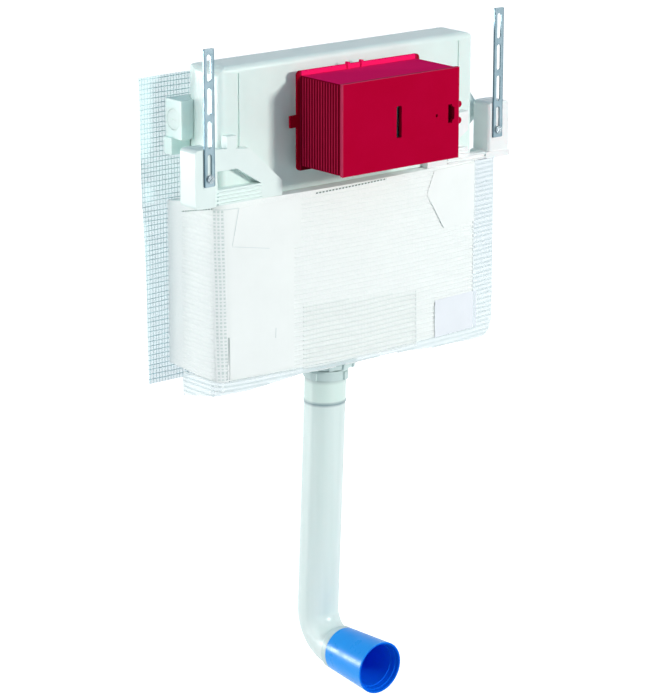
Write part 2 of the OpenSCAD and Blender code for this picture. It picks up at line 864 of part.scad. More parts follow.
// A bracket on the right side: a post for the strap, an arm and a strut on the tank's front
// A bracket's post, with its inner front edge rounded
module post(inner, outer, foot_low) {
    deep = post_deep - post_edge;
    intersection() {
        forward(bracket_front - post_deep, bracket_front)
            round_rect(inner, outer, foot_low, post_top, post_round);
        translate([0, 0, foot_low]) linear_extrude(post_top - foot_low) {
            translate([inner, post_edge - bracket_front]) square([post_w, deep]);
            translate([inner + post_edge, -bracket_front]) square([post_w - post_edge, post_deep]);
            translate([inner + post_edge, post_edge - bracket_front]) circle(post_edge);
        }
    }
}

module bracket() {
    outer = strap_x + post_out;
    inner = outer - post_w;
    foot_low = foam_h + foot_lift;
    foot_high = foot_low + foot_h;
    foot_end = foot_in + strut_foot * strut_w;
    web_front = bracket_front - web_set;
    window_out = inner - window_set;
    window_low = foot_high + over;
    window_top = arm_top - arm_t;
    rib_pitch = foot_h / foot_ribs;
    difference() {
        union() {
            post(inner, outer, foot_low);
            forward(tank_front, web_front) difference() {
                polygon([[inner + post_round, foot_low], [inner + post_round, post_top - window_set],
                    [arm_in, arm_top], [foot_in, foot_high], [foot_in, foot_low]]);
                polygon([[window_out, window_top], [arm_in + strut_w, window_top],
                    [foot_end, window_low], [window_out, window_low]]);
            }
            block(arm_in + stub_in, arm_in + stub_in + stub_w, tank_front, bracket_front - stub_set,
                arm_top - arm_t / 2, arm_top + stub_up);
            for (i = [0 : foot_ribs - 1]) translate([0, 0, foot_low + (i + 0.5) * rib_pitch])
                block(foot_end, window_out, web_front - over, bracket_front,
                    -foot_rib_t / 2, foot_rib_t / 2);
        }
        forward_bar(strap_x, screw_z, bracket_front - screw_l - over, bracket_front + over,
            thread_r + loose);
    }
}

module left_bracket() {
    color("#f1f3ef") mirror([1, 0, 0]) bracket();
}

// The right bracket is open between its post and the tank, above a sill
module right_bracket() {
    outer = strap_x + post_out;
    inner = outer - post_w;
    foot_low = foam_h + foot_lift;
    color("#f1f3ef") difference() {
        union() {
            bracket();
            forward(bracket_front - post_deep, bracket_front + sill_out / 2)
                round_rect(inner - post_round, outer + sill_out, foot_low, foot_low + sill_h, sill_h / 3);
        }
        block(arm_in + stub_in - over, inner, tank_front - over, bracket_front + over,
            foot_low + sill_h, max(post_top, arm_top + stub_up) + over);
    }
}

// One strap screw with a slotted head, its thread bored into the bracket
module strap_screw() {
    difference() {
        union() {
            forward_bar(0, screw_z, bracket_front - screw_l, bracket_front + touch, thread_r);
            forward_bar(0, screw_z, bracket_front, head_back, screw_r);
            forward_bar(0, screw_z, head_back, head_front, screw_head_r);
        }
        at(0, head_front, screw_z) rotate([0, 45, 0])
            cube([drive_w, 2 * drive_deep, 3 * screw_head_r], center = true);
    }
}

module strap_screws() {
    color("#c9ccd1") for (s = [-1, 1]) translate([s * strap_x, 0, 0]) strap_screw();
}

module strap(x) {
    forward(strap_back, strap_front) translate([x, strap_low]) difference() {
        round_rect(-strap_w / 2, strap_w / 2, 0, strap_l, strap_round);
        for (i = [0 : slot_count - 1]) translate([0, slot_end + i * slot_pitch]) {
            translate([-slot_w / 2, slot_w / 2]) square([slot_w, slot_l - slot_w]);
            for (y = [slot_w / 2, slot_l - slot_w / 2]) translate([0, y]) circle(slot_w / 2);
        }
    }
}

module left_strap() {
    color("#9aa3b0") strap(-strap_x);
}

module right_strap() {
    color("#9aa3b0") strap(strap_x);
}

module access_box() {
    half = box_w / 2;
    hole = opening_w / 2 - gap;
    inside = hole - box_wall;
    pitch = (box_front - flange_front) / (box_ribs + 1);
    lug_low = box_low + side_lug_up;
    color("#a3122a") difference() {
        union() {
            forward(flange_back, flange_front) round_rect(-half - flange_out, half + flange_out,
                box_low - flange_out, box_high + flange_out, flange_round);
            block(-half, half, flange_front - over, box_front, box_low, box_high);
            block(-hole, hole, tongue_back, flange_back + over, opening_low + gap, opening_high - gap);
            for (i = [1 : box_ribs]) translate([0, -flange_front - i * pitch, 0])
                block(-half - rib_out, half + rib_out, -rib_t / 2, rib_t / 2,
                    box_low + rib_end, box_high - rib_end);
            block(-half - flange_out - side_lug_out, -half, flange_back, flange_front,
                lug_low, lug_low + side_lug_h);
            for (x = [-tab_left, tab_right])
                block(x - tab_w / 2, x + tab_w / 2, flange_back, flange_front + tab_out,
                    box_high, box_high + flange_out + tab_up);
        }
        block(-half + box_wall, half - box_wall, flange_front, box_front + over,
            box_low + box_wall, box_high - box_wall);
        block(-inside, inside, tongue_back - over, flange_front + over,
            opening_low + gap + box_wall, opening_high - gap - box_wall);
    }
}

module access_lid() {
    half = box_w / 2 + lid_over;
    inner = box_w / 2 - box_wall - gap;
    low = box_low + box_wall + gap;
    high = box_high - box_wall - gap;
    middle = (box_low + box_high) / 2;
    color("#d3102f") difference() {
        union() {
            block(-half, half, lid_back, lid_front, box_low - lid_over, box_high + lid_over);
            difference() {
                block(-inner, inner, lid_back - skirt_l, lid_back + over, low, high);
                block(-inner + box_wall, inner - box_wall, lid_back - skirt_l - over, lid_back,
                    low + box_wall, high - box_wall);
            }
            for (s = [-1, 1])
                forward_bar(half, middle + s * lid_lug_z, lid_back, lid_front, lid_lug_r);
        }
        forward(lid_back - over, lid_front + over)
            round_rect(-lid_slot_w, 0, middle - lid_slot_l / 2, middle + lid_slot_l / 2, lid_slot_w / 4);
        forward_bar(lid_hole_x, middle, lid_back - over, lid_front + over, lid_hole_r);
        forward(lid_back - over, lid_front + over) difference() {
            round_rect(notch_x, notch_x + notch_w, middle - notch_h / 2, middle + notch_h / 2, notch_round);
            for (s = [-1, 1]) translate([notch_x + notch_w, middle + s * notch_h / 2]) circle(lid_lug_r);
        }
    }
}

module outlet_gasket() {
    color("#26282b") ring(0, pipe_depth, tank_floor, base_low, valve_flange_r - 1, spigot_r + touch);
}

module outlet_nut() {
    body_r = nut_r - rim_t;
    tall = nut_drop + nut_high;
    color("#e9eceb") at(0, pipe_depth, -nut_drop) difference() {
        union() {
            cylinder(r1 = nut_foot_r, r2 = body_r, h = tall);
            translate([0, 0, tall - rim_h]) cylinder(r = nut_r, h = rim_h);
            intersection() {
                cylinder(r1 = nut_foot_r + rim_t, r2 = nut_r, h = tall);
                for (i = [0 : nut_grips - 1]) rotate(i * 360 / nut_grips)
                    translate([spigot_r, -grip_w / 2, 0]) cube([nut_r, grip_w, tall - over]);
            }
        }
        translate([0, 0, -over]) cylinder(r = spigot_r + loose, h = tall + 2 * over);
    }
}

module valve_base() {
    color("#f7f7f5") difference() {
        at(0, pipe_depth, 0) union() {
            translate([0, 0, spigot_low]) cylinder(r = spigot_r, h = base_low - spigot_low + over);
            translate([0, 0, base_low]) cylinder(r = valve_flange_r, h = base_t);
            translate([0, 0, base_high - over]) cylinder(r = throat_r + seat_wall, h = seat_h + over);
        }
        at(0, pipe_depth, spigot_low - over) cylinder(r = throat_r, h = seat_z - spigot_low + 2 * over);
        at(0, pipe_depth, spigot_low - over)
            cylinder(r = socket_r, h = seal_low + seal_t - spigot_low + over);
    }
}

module pipe_seal() {
    color("#26282b") ring(0, pipe_depth, seal_low, seal_low + seal_t, socket_r - run, throat_r);
}

module lock_ring() {
    r = pipe_r + lock_ring_t;
    low = lock_high - lock_ring_h;
    color("#f2f4f2") leaning() union() {
        ring(0, pipe_depth, low, lock_high, r, pipe_r + loose);
        for (i = [0 : lock_lugs - 1]) at(0, pipe_depth, low) rotate(lock_turn + i * 360 / lock_lugs)
            translate([r - over, -lock_lug_w / 2, 0])
                cube([lock_lug_out + over, lock_lug_w, lock_ring_h - lock_ring_t]);
    }
}

// Turns the pipe and what is on it about the pipe's top end
module leaning() {
    at(0, pipe_depth, pipe_top_z) rotate([pipe_lean, 0, 0])
        translate([0, pipe_depth, -pipe_top_z]) children();
}

// The pipe's solid with radius r: a straight drop and a bend, extra longer at both ends
module pipe_run(r, extra) {
    at(0, pipe_depth, leg_z + bend_r) cylinder(r = r, h = pipe_top_z - leg_z - bend_r + extra);
    at(0, pipe_depth + bend_r, leg_z + bend_r) rotate([0, 90, 0])
        rotate_extrude(angle = 90) translate([bend_r, 0]) circle(r);
    if (extra > 0) forward_bar(0, leg_z, bend_end, bend_end + extra, r);
}

module flush_pipe() {
    color("#e6ebe6") leaning() difference() {
        union() {
            pipe_run(pipe_r, 0);
            at(0, pipe_depth, pipe_top_z - bead_drop) cylinder(r = pipe_r + bead_out, h = bead_h);
        }
        pipe_run(pipe_r - pipe_wall, over);
    }
}

// The socket at the pipe's lower end, with its collar
module pipe_socket() {
    color("#e6ebe6") leaning() difference() {
        union() {
            forward_bar(0, leg_z, bend_end, pipe_end, pipe_r);
            forward_bar(0, leg_z, collar_back, collar_back + collar_w, collar_r);
        }
        forward_bar(0, leg_z, bend_end - over, pipe_end + over, pipe_r - pipe_wall);
    }
}

module protective_cap() {
    rear = pipe_r + gap;
    mouth = cap_r - cap_wall;
    step = ledge_draft + ledge_w;
    first = cap_front - ledge_first;
    second = first - ledge_next;
    floor_r = rear + (mouth - rear) * (cup_floor - cap_back) / (cap_front - cap_back);
    color("#1c7fd6") leaning() at(0, 0, leg_z) rotate([90, 0, 0]) rotate_extrude() polygon([
        [rear, cap_back], [rear + cap_wall, cap_back], [cap_r, cap_front], [mouth, cap_front],
        [mouth - ledge_draft, first], [mouth - step, first],
        [mouth - step - ledge_draft, second], [mouth - 2 * step, second],
        [floor_r, cup_floor], [0, cup_floor], [0, cap_web], [rear, cap_web]]);
}

module valve_cage() {
    window_h = cage_h - window_low - window_over;
    color("#dfe6ea") difference() {
        union() {
            ring(0, pipe_depth, base_high, cage_high, cage_r, cage_r - cage_wall);
            ring(0, pipe_depth, cage_high - cage_top_t, cage_high, cage_r, tube_r + gap);
            block(cage_r - 2 * cage_wall, half_rod_x + 2 * half_rod_r, pipe_depth - 2 * half_rod_r,
                pipe_depth + 2 * half_rod_r, cage_high - cage_top_t, cage_high);
        }
        for (i = [0 : cage_windows - 1])
            at(0, pipe_depth, base_high + window_low) rotate(i * 360 / cage_windows)
                translate([cage_r / 2, -window_w / 2, 0]) cube([cage_r, window_w, window_h]);
        at(half_rod_x, pipe_depth, cage_high - cage_top_t - over)
            cylinder(r = half_rod_r + gap, h = cage_top_t + 2 * over);
    }
}

module overflow_tube() {
    color("#c7d7e6") difference() {
        at(0, pipe_depth, 0) union() {
            translate([0, 0, tube_low]) cylinder(r = tube_r, h = tube_top - tube_low);
            translate([0, 0, head_low]) cylinder(r = head_r, h = head_t);
            translate([0, 0, tube_low]) cylinder(r = tube_foot_r, h = tube_foot_t);
        }
        at(0, pipe_depth, tube_low - over) cylinder(r = tube_bore, h = tube_top - tube_low + 2 * over);
    }
}

module flush_seal() {
    color("#30343a") ring(0, pipe_depth, tube_low - flush_seal_t, tube_low, flush_seal_r, tube_bore);
}

module actuator_bridge() {
    plate_back = inner_front - bridge_t;
    color("#f2f2ee") difference() {
        union() {
            block(left_ear - bridge_end, right_ear + ear_t + bridge_end, plate_back, inner_front,
                bridge_low, bridge_high);
            for (x = [left_ear, right_ear])
                block(x, x + ear_t, lever_depth - ear_half, plate_back + over,
                    lever_z - ear_half, bridge_high);
        }
        across_bar(left_ear - over, right_ear + ear_t + over, lever_depth, lever_z, lever_pin_r + run);
    }
}

module lever_pin() {
    color("#b9bdc2") across_bar(left_ear, right_ear + ear_t, lever_depth, lever_z, lever_pin_r);
}

// A bell crank on the lever pin: a push arm that hangs down and a lifting arm towards the wall
module flush_lever(x, lift_x0, lift_x1) {
    x0 = x - lever_w / 2;
    x1 = x + lever_w / 2;
    difference() {
        union() {
            across_bar(x0, x1, lever_depth, lever_z, lever_hub_r);
            block(x0, x1, lever_depth - push_t / 2, lever_depth + push_t / 2, lever_z - push_l, lever_z);
            block(lift_x0, lift_x1, pipe_depth, lever_depth, lever_z - lift_t / 2, lift_high);
        }
        across_bar(x0 - over, x1 + over, lever_depth, lever_z, lever_pin_r + run);
    }
}

module full_flush_lever() {
    color("#e6e9ee") flush_lever(full_x, full_x - lever_w / 2, full_x + lever_w / 2);
}

module half_flush_lever() {
    color("#cfe0ef") flush_lever(half_x, half_rod_x + half_rod_r + rod_room, half_x + lever_w / 2);
}

module half_flush_rod() {
    low = cage_high - rod_drop;
    color("#d8dde2") at(half_rod_x, pipe_depth, 0) union() {
        translate([0, 0, low]) cylinder(r = half_rod_r, h = head_low + head_t - low);
        translate([-rod_head_half, -rod_head_half, head_low])
            cube([rod_head_half + rod_head_right, 2 * rod_head_half, head_t]);
        translate([0, 0, low]) cylinder(r = rod_foot_r, h = rod_foot_h);
    }
}

module inlet_socket() {
    color("#eff2ef") difference() {
        across_bar(socket_low, stop_low, inlet_depth, inlet_z, socket_out_r);
        across_bar(socket_low - over, socket_low + inlet_l, inlet_depth, inlet_z, inlet_r);
        across_bar(socket_low, stop_low + over, inlet_depth, inlet_z, socket_bore);
    }
}

module inlet_cover() {
    face = socket_low - gap - cover_t;
    color("#eef1ee") difference() {
        across_bar(face, socket_low - gap, inlet_depth, inlet_z, socket_out_r + loose - gap);
        block(face - over, face + cover_slot_deep,
            inlet_depth - cover_slot_l / 2, inlet_depth + cover_slot_l / 2,
            inlet_z - cover_slot_w / 2, inlet_z + cover_slot_w / 2);
    }
}

module inlet_nut() {
    color("#e4e6e6") difference() {
        at(boss_in, inlet_depth, inlet_z) rotate([0, 90, 0])
            cylinder(r = inlet_nut_r, h = inlet_nut_t, $fn = 6);
        across_bar(boss_in - over, stop_low + over, inlet_depth, inlet_z, socket_out_r + loose);
    }
}

module stop_valve_body() {
    bonnet_end = inlet_depth + bonnet_l;
    color("#caa64c") difference() {
        union() {
            across_bar(stop_low, stop_high, inlet_depth, inlet_z, stop_r);
            forward_bar(stop_mid, inlet_z, inlet_depth, bonnet_end, bonnet_r);
        }
        across_bar(stop_low - over, stop_high + over, inlet_depth, inlet_z, inlet_bore);
        forward_bar(stop_mid, inlet_z, bonnet_end - shaft_l - over, bonnet_end + over, shaft_r + run);
    }
}

module stop_valve_handle() {
    color("#2f66b0") union() {
        forward_bar(stop_mid, inlet_z, handle_back - shaft_l, handle_back + over, shaft_r);
        forward_bar(stop_mid, inlet_z, handle_back, handle_back + hub_l, hub_r);
        forward(handle_back, handle_back + handle_t) round_rect(stop_mid - handle_w / 2,
            stop_mid + handle_w / 2, inlet_z - handle_l / 2, inlet_z + handle_l / 2, handle_w / 3);
    }
}

module supply_tube() {
    color("#d9dde0") difference() {
        across_bar(stop_high, tube_in, inlet_depth, inlet_z, supply_r);
        across_bar(stop_high - over, tube_in + over, inlet_depth, inlet_z, inlet_bore);
    }
}

module fill_valve_body() {
    color("#f0f1ee") difference() {
        union() {
            at(-fill_x, fill_depth, fill_low) cylinder(r = fill_r, h = fill_high - fill_low);
            at(-fill_x, fill_depth, fill_low) cylinder(r = fill_r + fill_foot_out, h = fill_foot_t);
            block(tube_in, -fill_x, inlet_depth - branch, inlet_depth + branch,
                inlet_z - branch, inlet_z + branch);
        }
        across_bar(tube_in - over, -fill_x, inlet_depth, inlet_z, inlet_bore);
        at(-fill_x, fill_depth, fill_low - over)
            cylinder(r = inlet_bore, h = fill_high - fill_low - fill_roof + over);
    }
}

module fill_valve_cap() {
    half = arm_ears_w / 2;
    color("#d7dbe0") difference() {
        union() {
            at(-fill_x, fill_depth, fill_high) cylinder(r = fill_r + fill_cap_out, h = fill_cap_t);
            for (d = [fill_depth - half, fill_depth + half - arm_ear_t])
                block(arm_pivot - arm_hub_r, arm_pivot + arm_hub_r, d, d + arm_ear_t,
                    fill_high, arm_z + arm_hub_r);
        }
        forward_bar(arm_pivot, arm_z, fill_depth - half - over, fill_depth + half + over, arm_pin_r + run);
    }
}

module arm_pin() {
    half = arm_ears_w / 2;
    color("#b9bdc2") forward_bar(arm_pivot, arm_z, fill_depth - half, fill_depth + half, arm_pin_r);
}

module valve_arm() {
    half = arm_ears_w / 2 - arm_ear_t - gap;
    color("#dfe3ea") difference() {
        union() {
            forward_bar(arm_pivot, arm_z, fill_depth - half, fill_depth + half, arm_hub_r);
            block(arm_pivot, arm_pivot + arm_reach, fill_depth - valve_arm_w / 2,
                fill_depth + valve_arm_w / 2, arm_z - valve_arm_t / 2, arm_z + valve_arm_t / 2);
        }
        forward_bar(arm_pivot, arm_z, fill_depth - half - over, fill_depth + half + over, arm_pin_r + run);
    }
}

module float_cup() {
    float_top = float_z + float_h;
    tip = arm_z - valve_arm_t / 2 - gap;
    slide_r = fill_r + slide_ease;
    color("#f5f5f0") union() {
        difference() {
            ring(-fill_x, fill_depth, float_z, float_top, float_r, slide_r);
            ring(-fill_x, fill_depth, float_z - over, float_top - float_roof,
                float_r - float_wall, slide_r + float_wall);
        }
        at(post_x, fill_depth, float_top - over) cylinder(r = float_post_r, h = tip - float_top + over);
    }
}

module port_plug() {
    neck_x = tank_w / 2;
    grip_x = neck_x + plug_neck_l;
    color("#e8ebe9") union() {
        across_bar(neck_x - 2 * tank_wall, neck_x + over, plug_depth, plug_z, plug_spigot_r);
        across_bar(neck_x, grip_x, plug_depth, plug_z, plug_neck_r);
        at(grip_x, plug_depth, plug_z) rotate([0, 90, 0]) rotate(180 / plug_sides)
            cylinder(r = plug_r, h = plug_out - plug_neck_l, $fn = plug_sides);
    }
}

tank();
inlet_block();
foam_jacket();
front_mesh();
side_mesh();
back_mesh();
left_bracket();
right_bracket();
strap_screws();
left_strap();
right_strap();
access_box();
access_lid();
outlet_gasket();
outlet_nut();
valve_base();
lock_ring();
pipe_seal();
flush_pipe();
pipe_socket();
protective_cap();
valve_cage();
overflow_tube();
flush_seal();
actuator_bridge();
lever_pin();
full_flush_lever();
half_flush_lever();
half_flush_rod();
inlet_socket();
inlet_cover();
inlet_nut();
stop_valve_body();
stop_valve_handle();
supply_tube();
fill_valve_body();
fill_valve_cap();
float_cup();
valve_arm();
arm_pin();
port_plug();
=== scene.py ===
"""Looks of a concealed toilet cistern: finishes, plaster meshes, film and a plain studio round the part."""
import json
import math
import random

import bmesh
import bpy
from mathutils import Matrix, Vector


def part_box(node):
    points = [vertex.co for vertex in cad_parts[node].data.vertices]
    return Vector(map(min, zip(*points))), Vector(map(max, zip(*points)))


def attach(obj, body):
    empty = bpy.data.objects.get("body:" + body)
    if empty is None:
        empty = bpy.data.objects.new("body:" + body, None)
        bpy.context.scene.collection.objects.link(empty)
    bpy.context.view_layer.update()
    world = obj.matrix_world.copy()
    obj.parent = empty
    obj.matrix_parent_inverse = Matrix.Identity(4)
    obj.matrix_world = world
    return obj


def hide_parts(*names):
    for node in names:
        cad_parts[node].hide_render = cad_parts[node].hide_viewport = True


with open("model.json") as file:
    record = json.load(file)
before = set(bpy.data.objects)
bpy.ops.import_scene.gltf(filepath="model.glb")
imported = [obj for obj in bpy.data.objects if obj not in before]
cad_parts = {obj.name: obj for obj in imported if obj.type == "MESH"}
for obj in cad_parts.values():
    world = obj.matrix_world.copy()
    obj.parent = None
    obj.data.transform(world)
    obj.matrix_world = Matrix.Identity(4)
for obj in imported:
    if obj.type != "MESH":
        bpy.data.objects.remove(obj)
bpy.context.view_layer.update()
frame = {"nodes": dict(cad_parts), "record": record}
nodes = frame["nodes"]
scene = bpy.context.scene
rng = random.Random(11)

# Camera
IMAGE_WIDTH = 645
FOCAL_PIXELS = 3209.09
SENSOR = 36.0
CAMERA_AZIMUTH = math.radians(-39.28)
CAMERA_RISE = math.radians(15.56)
CAMERA_TARGET = Vector((-0.03242, -0.08, 0.00784))
CAMERA_DISTANCE = 3.78258
CAMERA_REACH = 200.0

# Studio
FLOOR_Z = -1.2
FLOOR_HALF = 40.0
FLOOR_GREY = 0.6
HORIZON = (0.515, 0.54, 0.52, 1)
ZENITH = (0.115, 0.21, 0.31, 1)
LIGHT_DISTANCE = 4.0

# Foam outline that the front mesh follows, in metres
FOAM_LOW, FOAM_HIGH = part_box("foam_jacket")
FOAM_BOW = 0.012
FOAM_ROUND = 0.016
FOAM_HALF = FOAM_HIGH.x
BOW_R = (FOAM_HALF ** 2 + FOAM_BOW ** 2) / (2 * FOAM_BOW)
BOW_Y = BOW_R + FOAM_LOW.y
CORNER_X = FOAM_HALF - FOAM_ROUND
CORNER_Y = BOW_Y - math.sqrt((BOW_R - FOAM_ROUND) ** 2 - CORNER_X ** 2)
CORNER_TURN = math.pi / 2 - math.asin(CORNER_X / (BOW_R - FOAM_ROUND))

# Plaster mesh
SIDE_START_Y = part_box("side_mesh")[1].y
FRONT_RIGHT_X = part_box("front_mesh")[1].x
FRONT_LOW_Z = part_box("front_mesh")[0].z
FRONT_HIGH_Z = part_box("front_mesh")[1].z
NET_OFF = 0.0005
WARP_FLAT = 0.4
FOOT_SAMPLES = 40
ROW_JITTER = 0.0004
ROW_WAVE_LEAST = 0.0002
ROW_WAVE_MOST = 0.0005
ROW_WAVES = 55
COLUMN_DRIFT = 0.0003
COLUMN_WAVES = 60
PHASE_RANGE = 6.28
SHORT_STEP = 0.0005
FILM_STEP = 0.008


class Weave:
    """A kind of net: pitches and widths of its long threads, their thickness and how far they weave.

    A depth below none keeps the upright threads behind the level ones.
    """

    def __init__(self, warp_pitch, weft_pitch, warp_wide, weft_wide, thick, depth):
        self.warp_pitch = warp_pitch
        self.weft_pitch = weft_pitch
        self.warp_wide = warp_wide
        self.weft_wide = weft_wide
        self.thick = thick
        self.depth = depth

    def area(self, width, height):
        """Flat area of the threads in a piece of net."""
        warps = width / self.warp_pitch * height * self.warp_wide
        wefts = height / self.weft_pitch * width * self.weft_wide
        return warps + wefts


FRONT_WEAVE = Weave(0.0048, 0.0056, 0.00025, 0.0024, 0.00100, -0.00030)
LAYER_WEAVE = Weave(0.0048, 0.0056, 0.00025, 0.0023, 0.00120, -0.00030)
BACK_WEAVE = Weave(0.0042, 0.0057, 0.0006, 0.0009, 0.00040, 0.00010)
CORNER_WEAVE = Weave(0.0040, 0.0042, 0.0018, 0.0022, 0.00045, 0.00012)


def point_on_wrap(along, off):
    """Place and outward direction on the foam's outline, a length on from the mesh's rear edge."""
    side = SIDE_START_Y - CORNER_Y
    corner = FOAM_ROUND * CORNER_TURN
    if along < side:
        return Vector((-FOAM_HALF - off, SIDE_START_Y - along, 0)), Vector((-1, 0, 0))
    if along < side + corner:
        turn = (along - side) / FOAM_ROUND
        out = Vector((-math.cos(turn), -math.sin(turn), 0))
        return Vector((-CORNER_X, CORNER_Y, 0)) + out * (FOAM_ROUND + off), out
    swing = (along - side - corner) / BOW_R - math.pi / 2 + CORNER_TURN
    out = Vector((math.sin(swing), -math.cos(swing), 0))
    return Vector((0, BOW_Y, 0)) + out * (BOW_R + off), out


def wrap_length(x):
    """Length along the foam's outline, from the mesh's rear edge to a place on the bowed front."""
    side = SIDE_START_Y - CORNER_Y
    corner = FOAM_ROUND * CORNER_TURN
    return side + corner + BOW_R * (math.asin(x / BOW_R) + math.pi / 2 - CORNER_TURN)


def blend_points(points, at):
    """Smooth value between listed (place, value) points."""
    if at <= points[0][0]:
        return points[0][1]
    for (left, low), (right, high) in zip(points, points[1:]):
        if at <= right:
            share = (at - left) / (right - left)
            share = share * share * (3 - 2 * share)
            return low + (high - low) * share
    return points[-1][1]


# Places on the part that the finishes follow
LID_LOW, LID_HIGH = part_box("access_lid")
LID_HALF_X = -LID_LOW.x
LID_MID_X = 0.0
LID_MID_Z = (LID_LOW.z + LID_HIGH.z) / 2
LID_HALF_Z = (LID_HIGH.z - LID_LOW.z) / 2
# Width of the painted highlight along the lid's outer edges
EDGE_HIGHLIGHT = 0.0009
BOX_HALF = 0.086
RIB_OUT = 0.0012
BOX_SHADE = 0.045
BACK_LOW, BACK_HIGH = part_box("back_mesh")
STRAP_RIM = 0.0016
STRAP_LOW, STRAP_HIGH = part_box("right_strap")
STRAP_X = (STRAP_LOW.x + STRAP_HIGH.x) / 2
STRAP_HALF = (STRAP_HIGH.x - STRAP_LOW.x) / 2
PIPE_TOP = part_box("flush_pipe")[1].z
BEAD_DOWN = 0.0652
BEAD_Z = PIPE_TOP - BEAD_DOWN
BEAD_BLEND = 0.002
BEAD_HALF = 0.0034
LOCK_SHADOW = 0.005
LOCK_LOW_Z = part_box("lock_ring")[0].z

# Finishes


class Finish:
    """A procedural material: one principled shader, with textures in the part's own space."""

    def __init__(self, name, **sockets):
        self.material = bpy.data.materials.new(name)
        self.material.use_nodes = True
        self.tree = self.material.node_tree
        self.shader = self.tree.nodes["Principled BSDF"]
        self.place = self.add("ShaderNodeTexCoord").outputs["Object"]
        self.height = None
        for socket, value in sockets.items():
            self.shader.inputs[socket.replace("_", " ")].default_value = value

    def add(self, kind, **values):
        node = self.tree.nodes.new(kind)
        for key, value in values.items():
            setattr(node, key, value)
        return node

    def link(self, source, target):
        self.tree.links.new(source, target)

    def stretched(self, scale):
        mapping = self.add("ShaderNodeMapping")
        mapping.inputs["Scale"].default_value = scale
        self.link(self.place, mapping.inputs["Vector"])
        return mapping.outputs["Vector"]

    def noise(self, scale, detail=3.0, rough=0.5, stretch=None):
        node = self.add("ShaderNodeTexNoise")
        node.inputs["Scale"].default_value = scale
        node.inputs["Detail"].default_value = detail
        node.inputs["Roughness"].default_value = rough
        self.link(self.stretched(stretch) if stretch else self.place, node.inputs["Vector"])
        return node.outputs["Fac"]

    def cells(self, scale, feature="F1", output="Distance"):
        node = self.add("ShaderNodeTexVoronoi", feature=feature)
        node.inputs["Scale"].default_value = scale
        self.link(self.place, node.inputs["Vector"])
        return node.outputs[output]

    def ranged(self, value, low, high, start=0.3, end=0.7):
        node = self.add("ShaderNodeMapRange")
        node.inputs["From Min"].default_value = start
        node.inputs["From Max"].default_value = end
        node.inputs["To Min"].default_value = low
        node.inputs["To Max"].default_value = high
        self.link(value, node.inputs["Value"])
        return node.outputs["Result"]

    def tinted(self, value, low, high, start=0.3, end=0.7):
        node = self.add("ShaderNodeValToRGB")
        first, last = node.color_ramp.elements
        first.position = start
        first.color = (*low, 1)
        last.position = end
        last.color = (*high, 1)
        self.link(value, node.inputs["Fac"])
        return node.outputs["Color"]

    def mixed(self, share, first, second):
        node = self.add("ShaderNodeMix", data_type="RGBA")
        factor, low, high = (s for s in node.inputs if s.enabled)
        self.link(share, factor)
        for socket, colour in ((low, first), (high, second)):
            if isinstance(colour, tuple):
                socket.default_value = (*colour, 1)
            else:
                self.link(colour, socket)
        return next(s for s in node.outputs if s.enabled)

    def axis(self, name):
        node = self.add("ShaderNodeSeparateXYZ")
        self.link(self.place, node.inputs["Vector"])
        return node.outputs[name]

    def colour(self, value):
        self.link(value, self.shader.inputs["Base Color"])

    def roughness(self, value):
        self.link(value, self.shader.inputs["Roughness"])

    def bump(self, height, strength, depth):
        node = self.add("ShaderNodeBump")
        node.inputs["Strength"].default_value = strength
        node.inputs["Distance"].default_value = depth
        self.link(height, node.inputs["Height"])
        if self.height:
            self.link(self.height, node.inputs["Normal"])
        self.height = node.outputs["Normal"]
        self.link(self.height, self.shader.inputs["Normal"])


def shade(colour, factor):
    return tuple(min(1.0, c * factor) for c in colour)


def moulded(name, colour, rough=0.36, cloud=0.05, grain=0.10, **sockets):
    """Moulded plastic: faintly cloudy colour, uneven gloss and a fine grain."""
    finish = Finish(name, **sockets)
    finish.colour(finish.tinted(finish.noise(22), shade(colour, 1 - cloud), shade(colour, 1 + cloud / 2)))
    finish.roughness(finish.ranged(finish.noise(70, 4), rough - 0.05, rough + 0.07))
    finish.bump(finish.noise(900, 2), grain, 0.0002)
    return finish


def metal(name, dark, light, rough, spangle, metallic=0.9):
    """Plated metal: crystal patches in the colour, fine drawn lines along its length."""
    finish = Finish(name, Metallic=metallic)
    patch = finish.cells(spangle, output="Color")
    finish.colour(finish.tinted(patch, dark, light, 0.1, 0.9))
    finish.roughness(finish.ranged(patch, rough - 0.06, rough + 0.08, 0, 1))
    finish.bump(finish.noise(300, 3, stretch=(6, 6, 0.3)), 0.12, 0.0002)
    return finish


def tank_finish():
    """Milky blow-moulded plastic: soft light inside, slow waves in the wall."""
    finish = moulded("tank_milky", (0.805, 0.975, 0.925), rough=0.34, cloud=0.03, grain=0.05,
                     Subsurface_Weight=0.35, Subsurface_Radius=(0.006, 0.008, 0.008), Subsurface_Scale=1.0,
                     Specular_IOR_Level=0.3)
    finish.bump(finish.noise(11, 2), 0.25, 0.004)
    return finish


def foam_finish():
    """Expanded foam: round beads pressed together, with thin seams between them."""
    finish = Finish("foam_beads", Roughness=0.75, Subsurface_Weight=0.2,
                    Subsurface_Radius=(0.004, 0.004, 0.004), Specular_IOR_Level=0.2)
    seam = finish.cells(270, "DISTANCE_TO_EDGE")
    soft = finish.tinted(finish.noise(18), (0.95, 0.985, 0.97), (0.97, 0.995, 0.985))
    line = finish.ranged(seam, 0.0, 1.0, 0.0, 0.12)
    finish.colour(finish.mixed(line, (0.92, 0.965, 0.95), soft))
    finish.bump(line, 0.15, 0.0004)
    finish.bump(finish.noise(9, 2), 0.15, 0.004)
    return finish


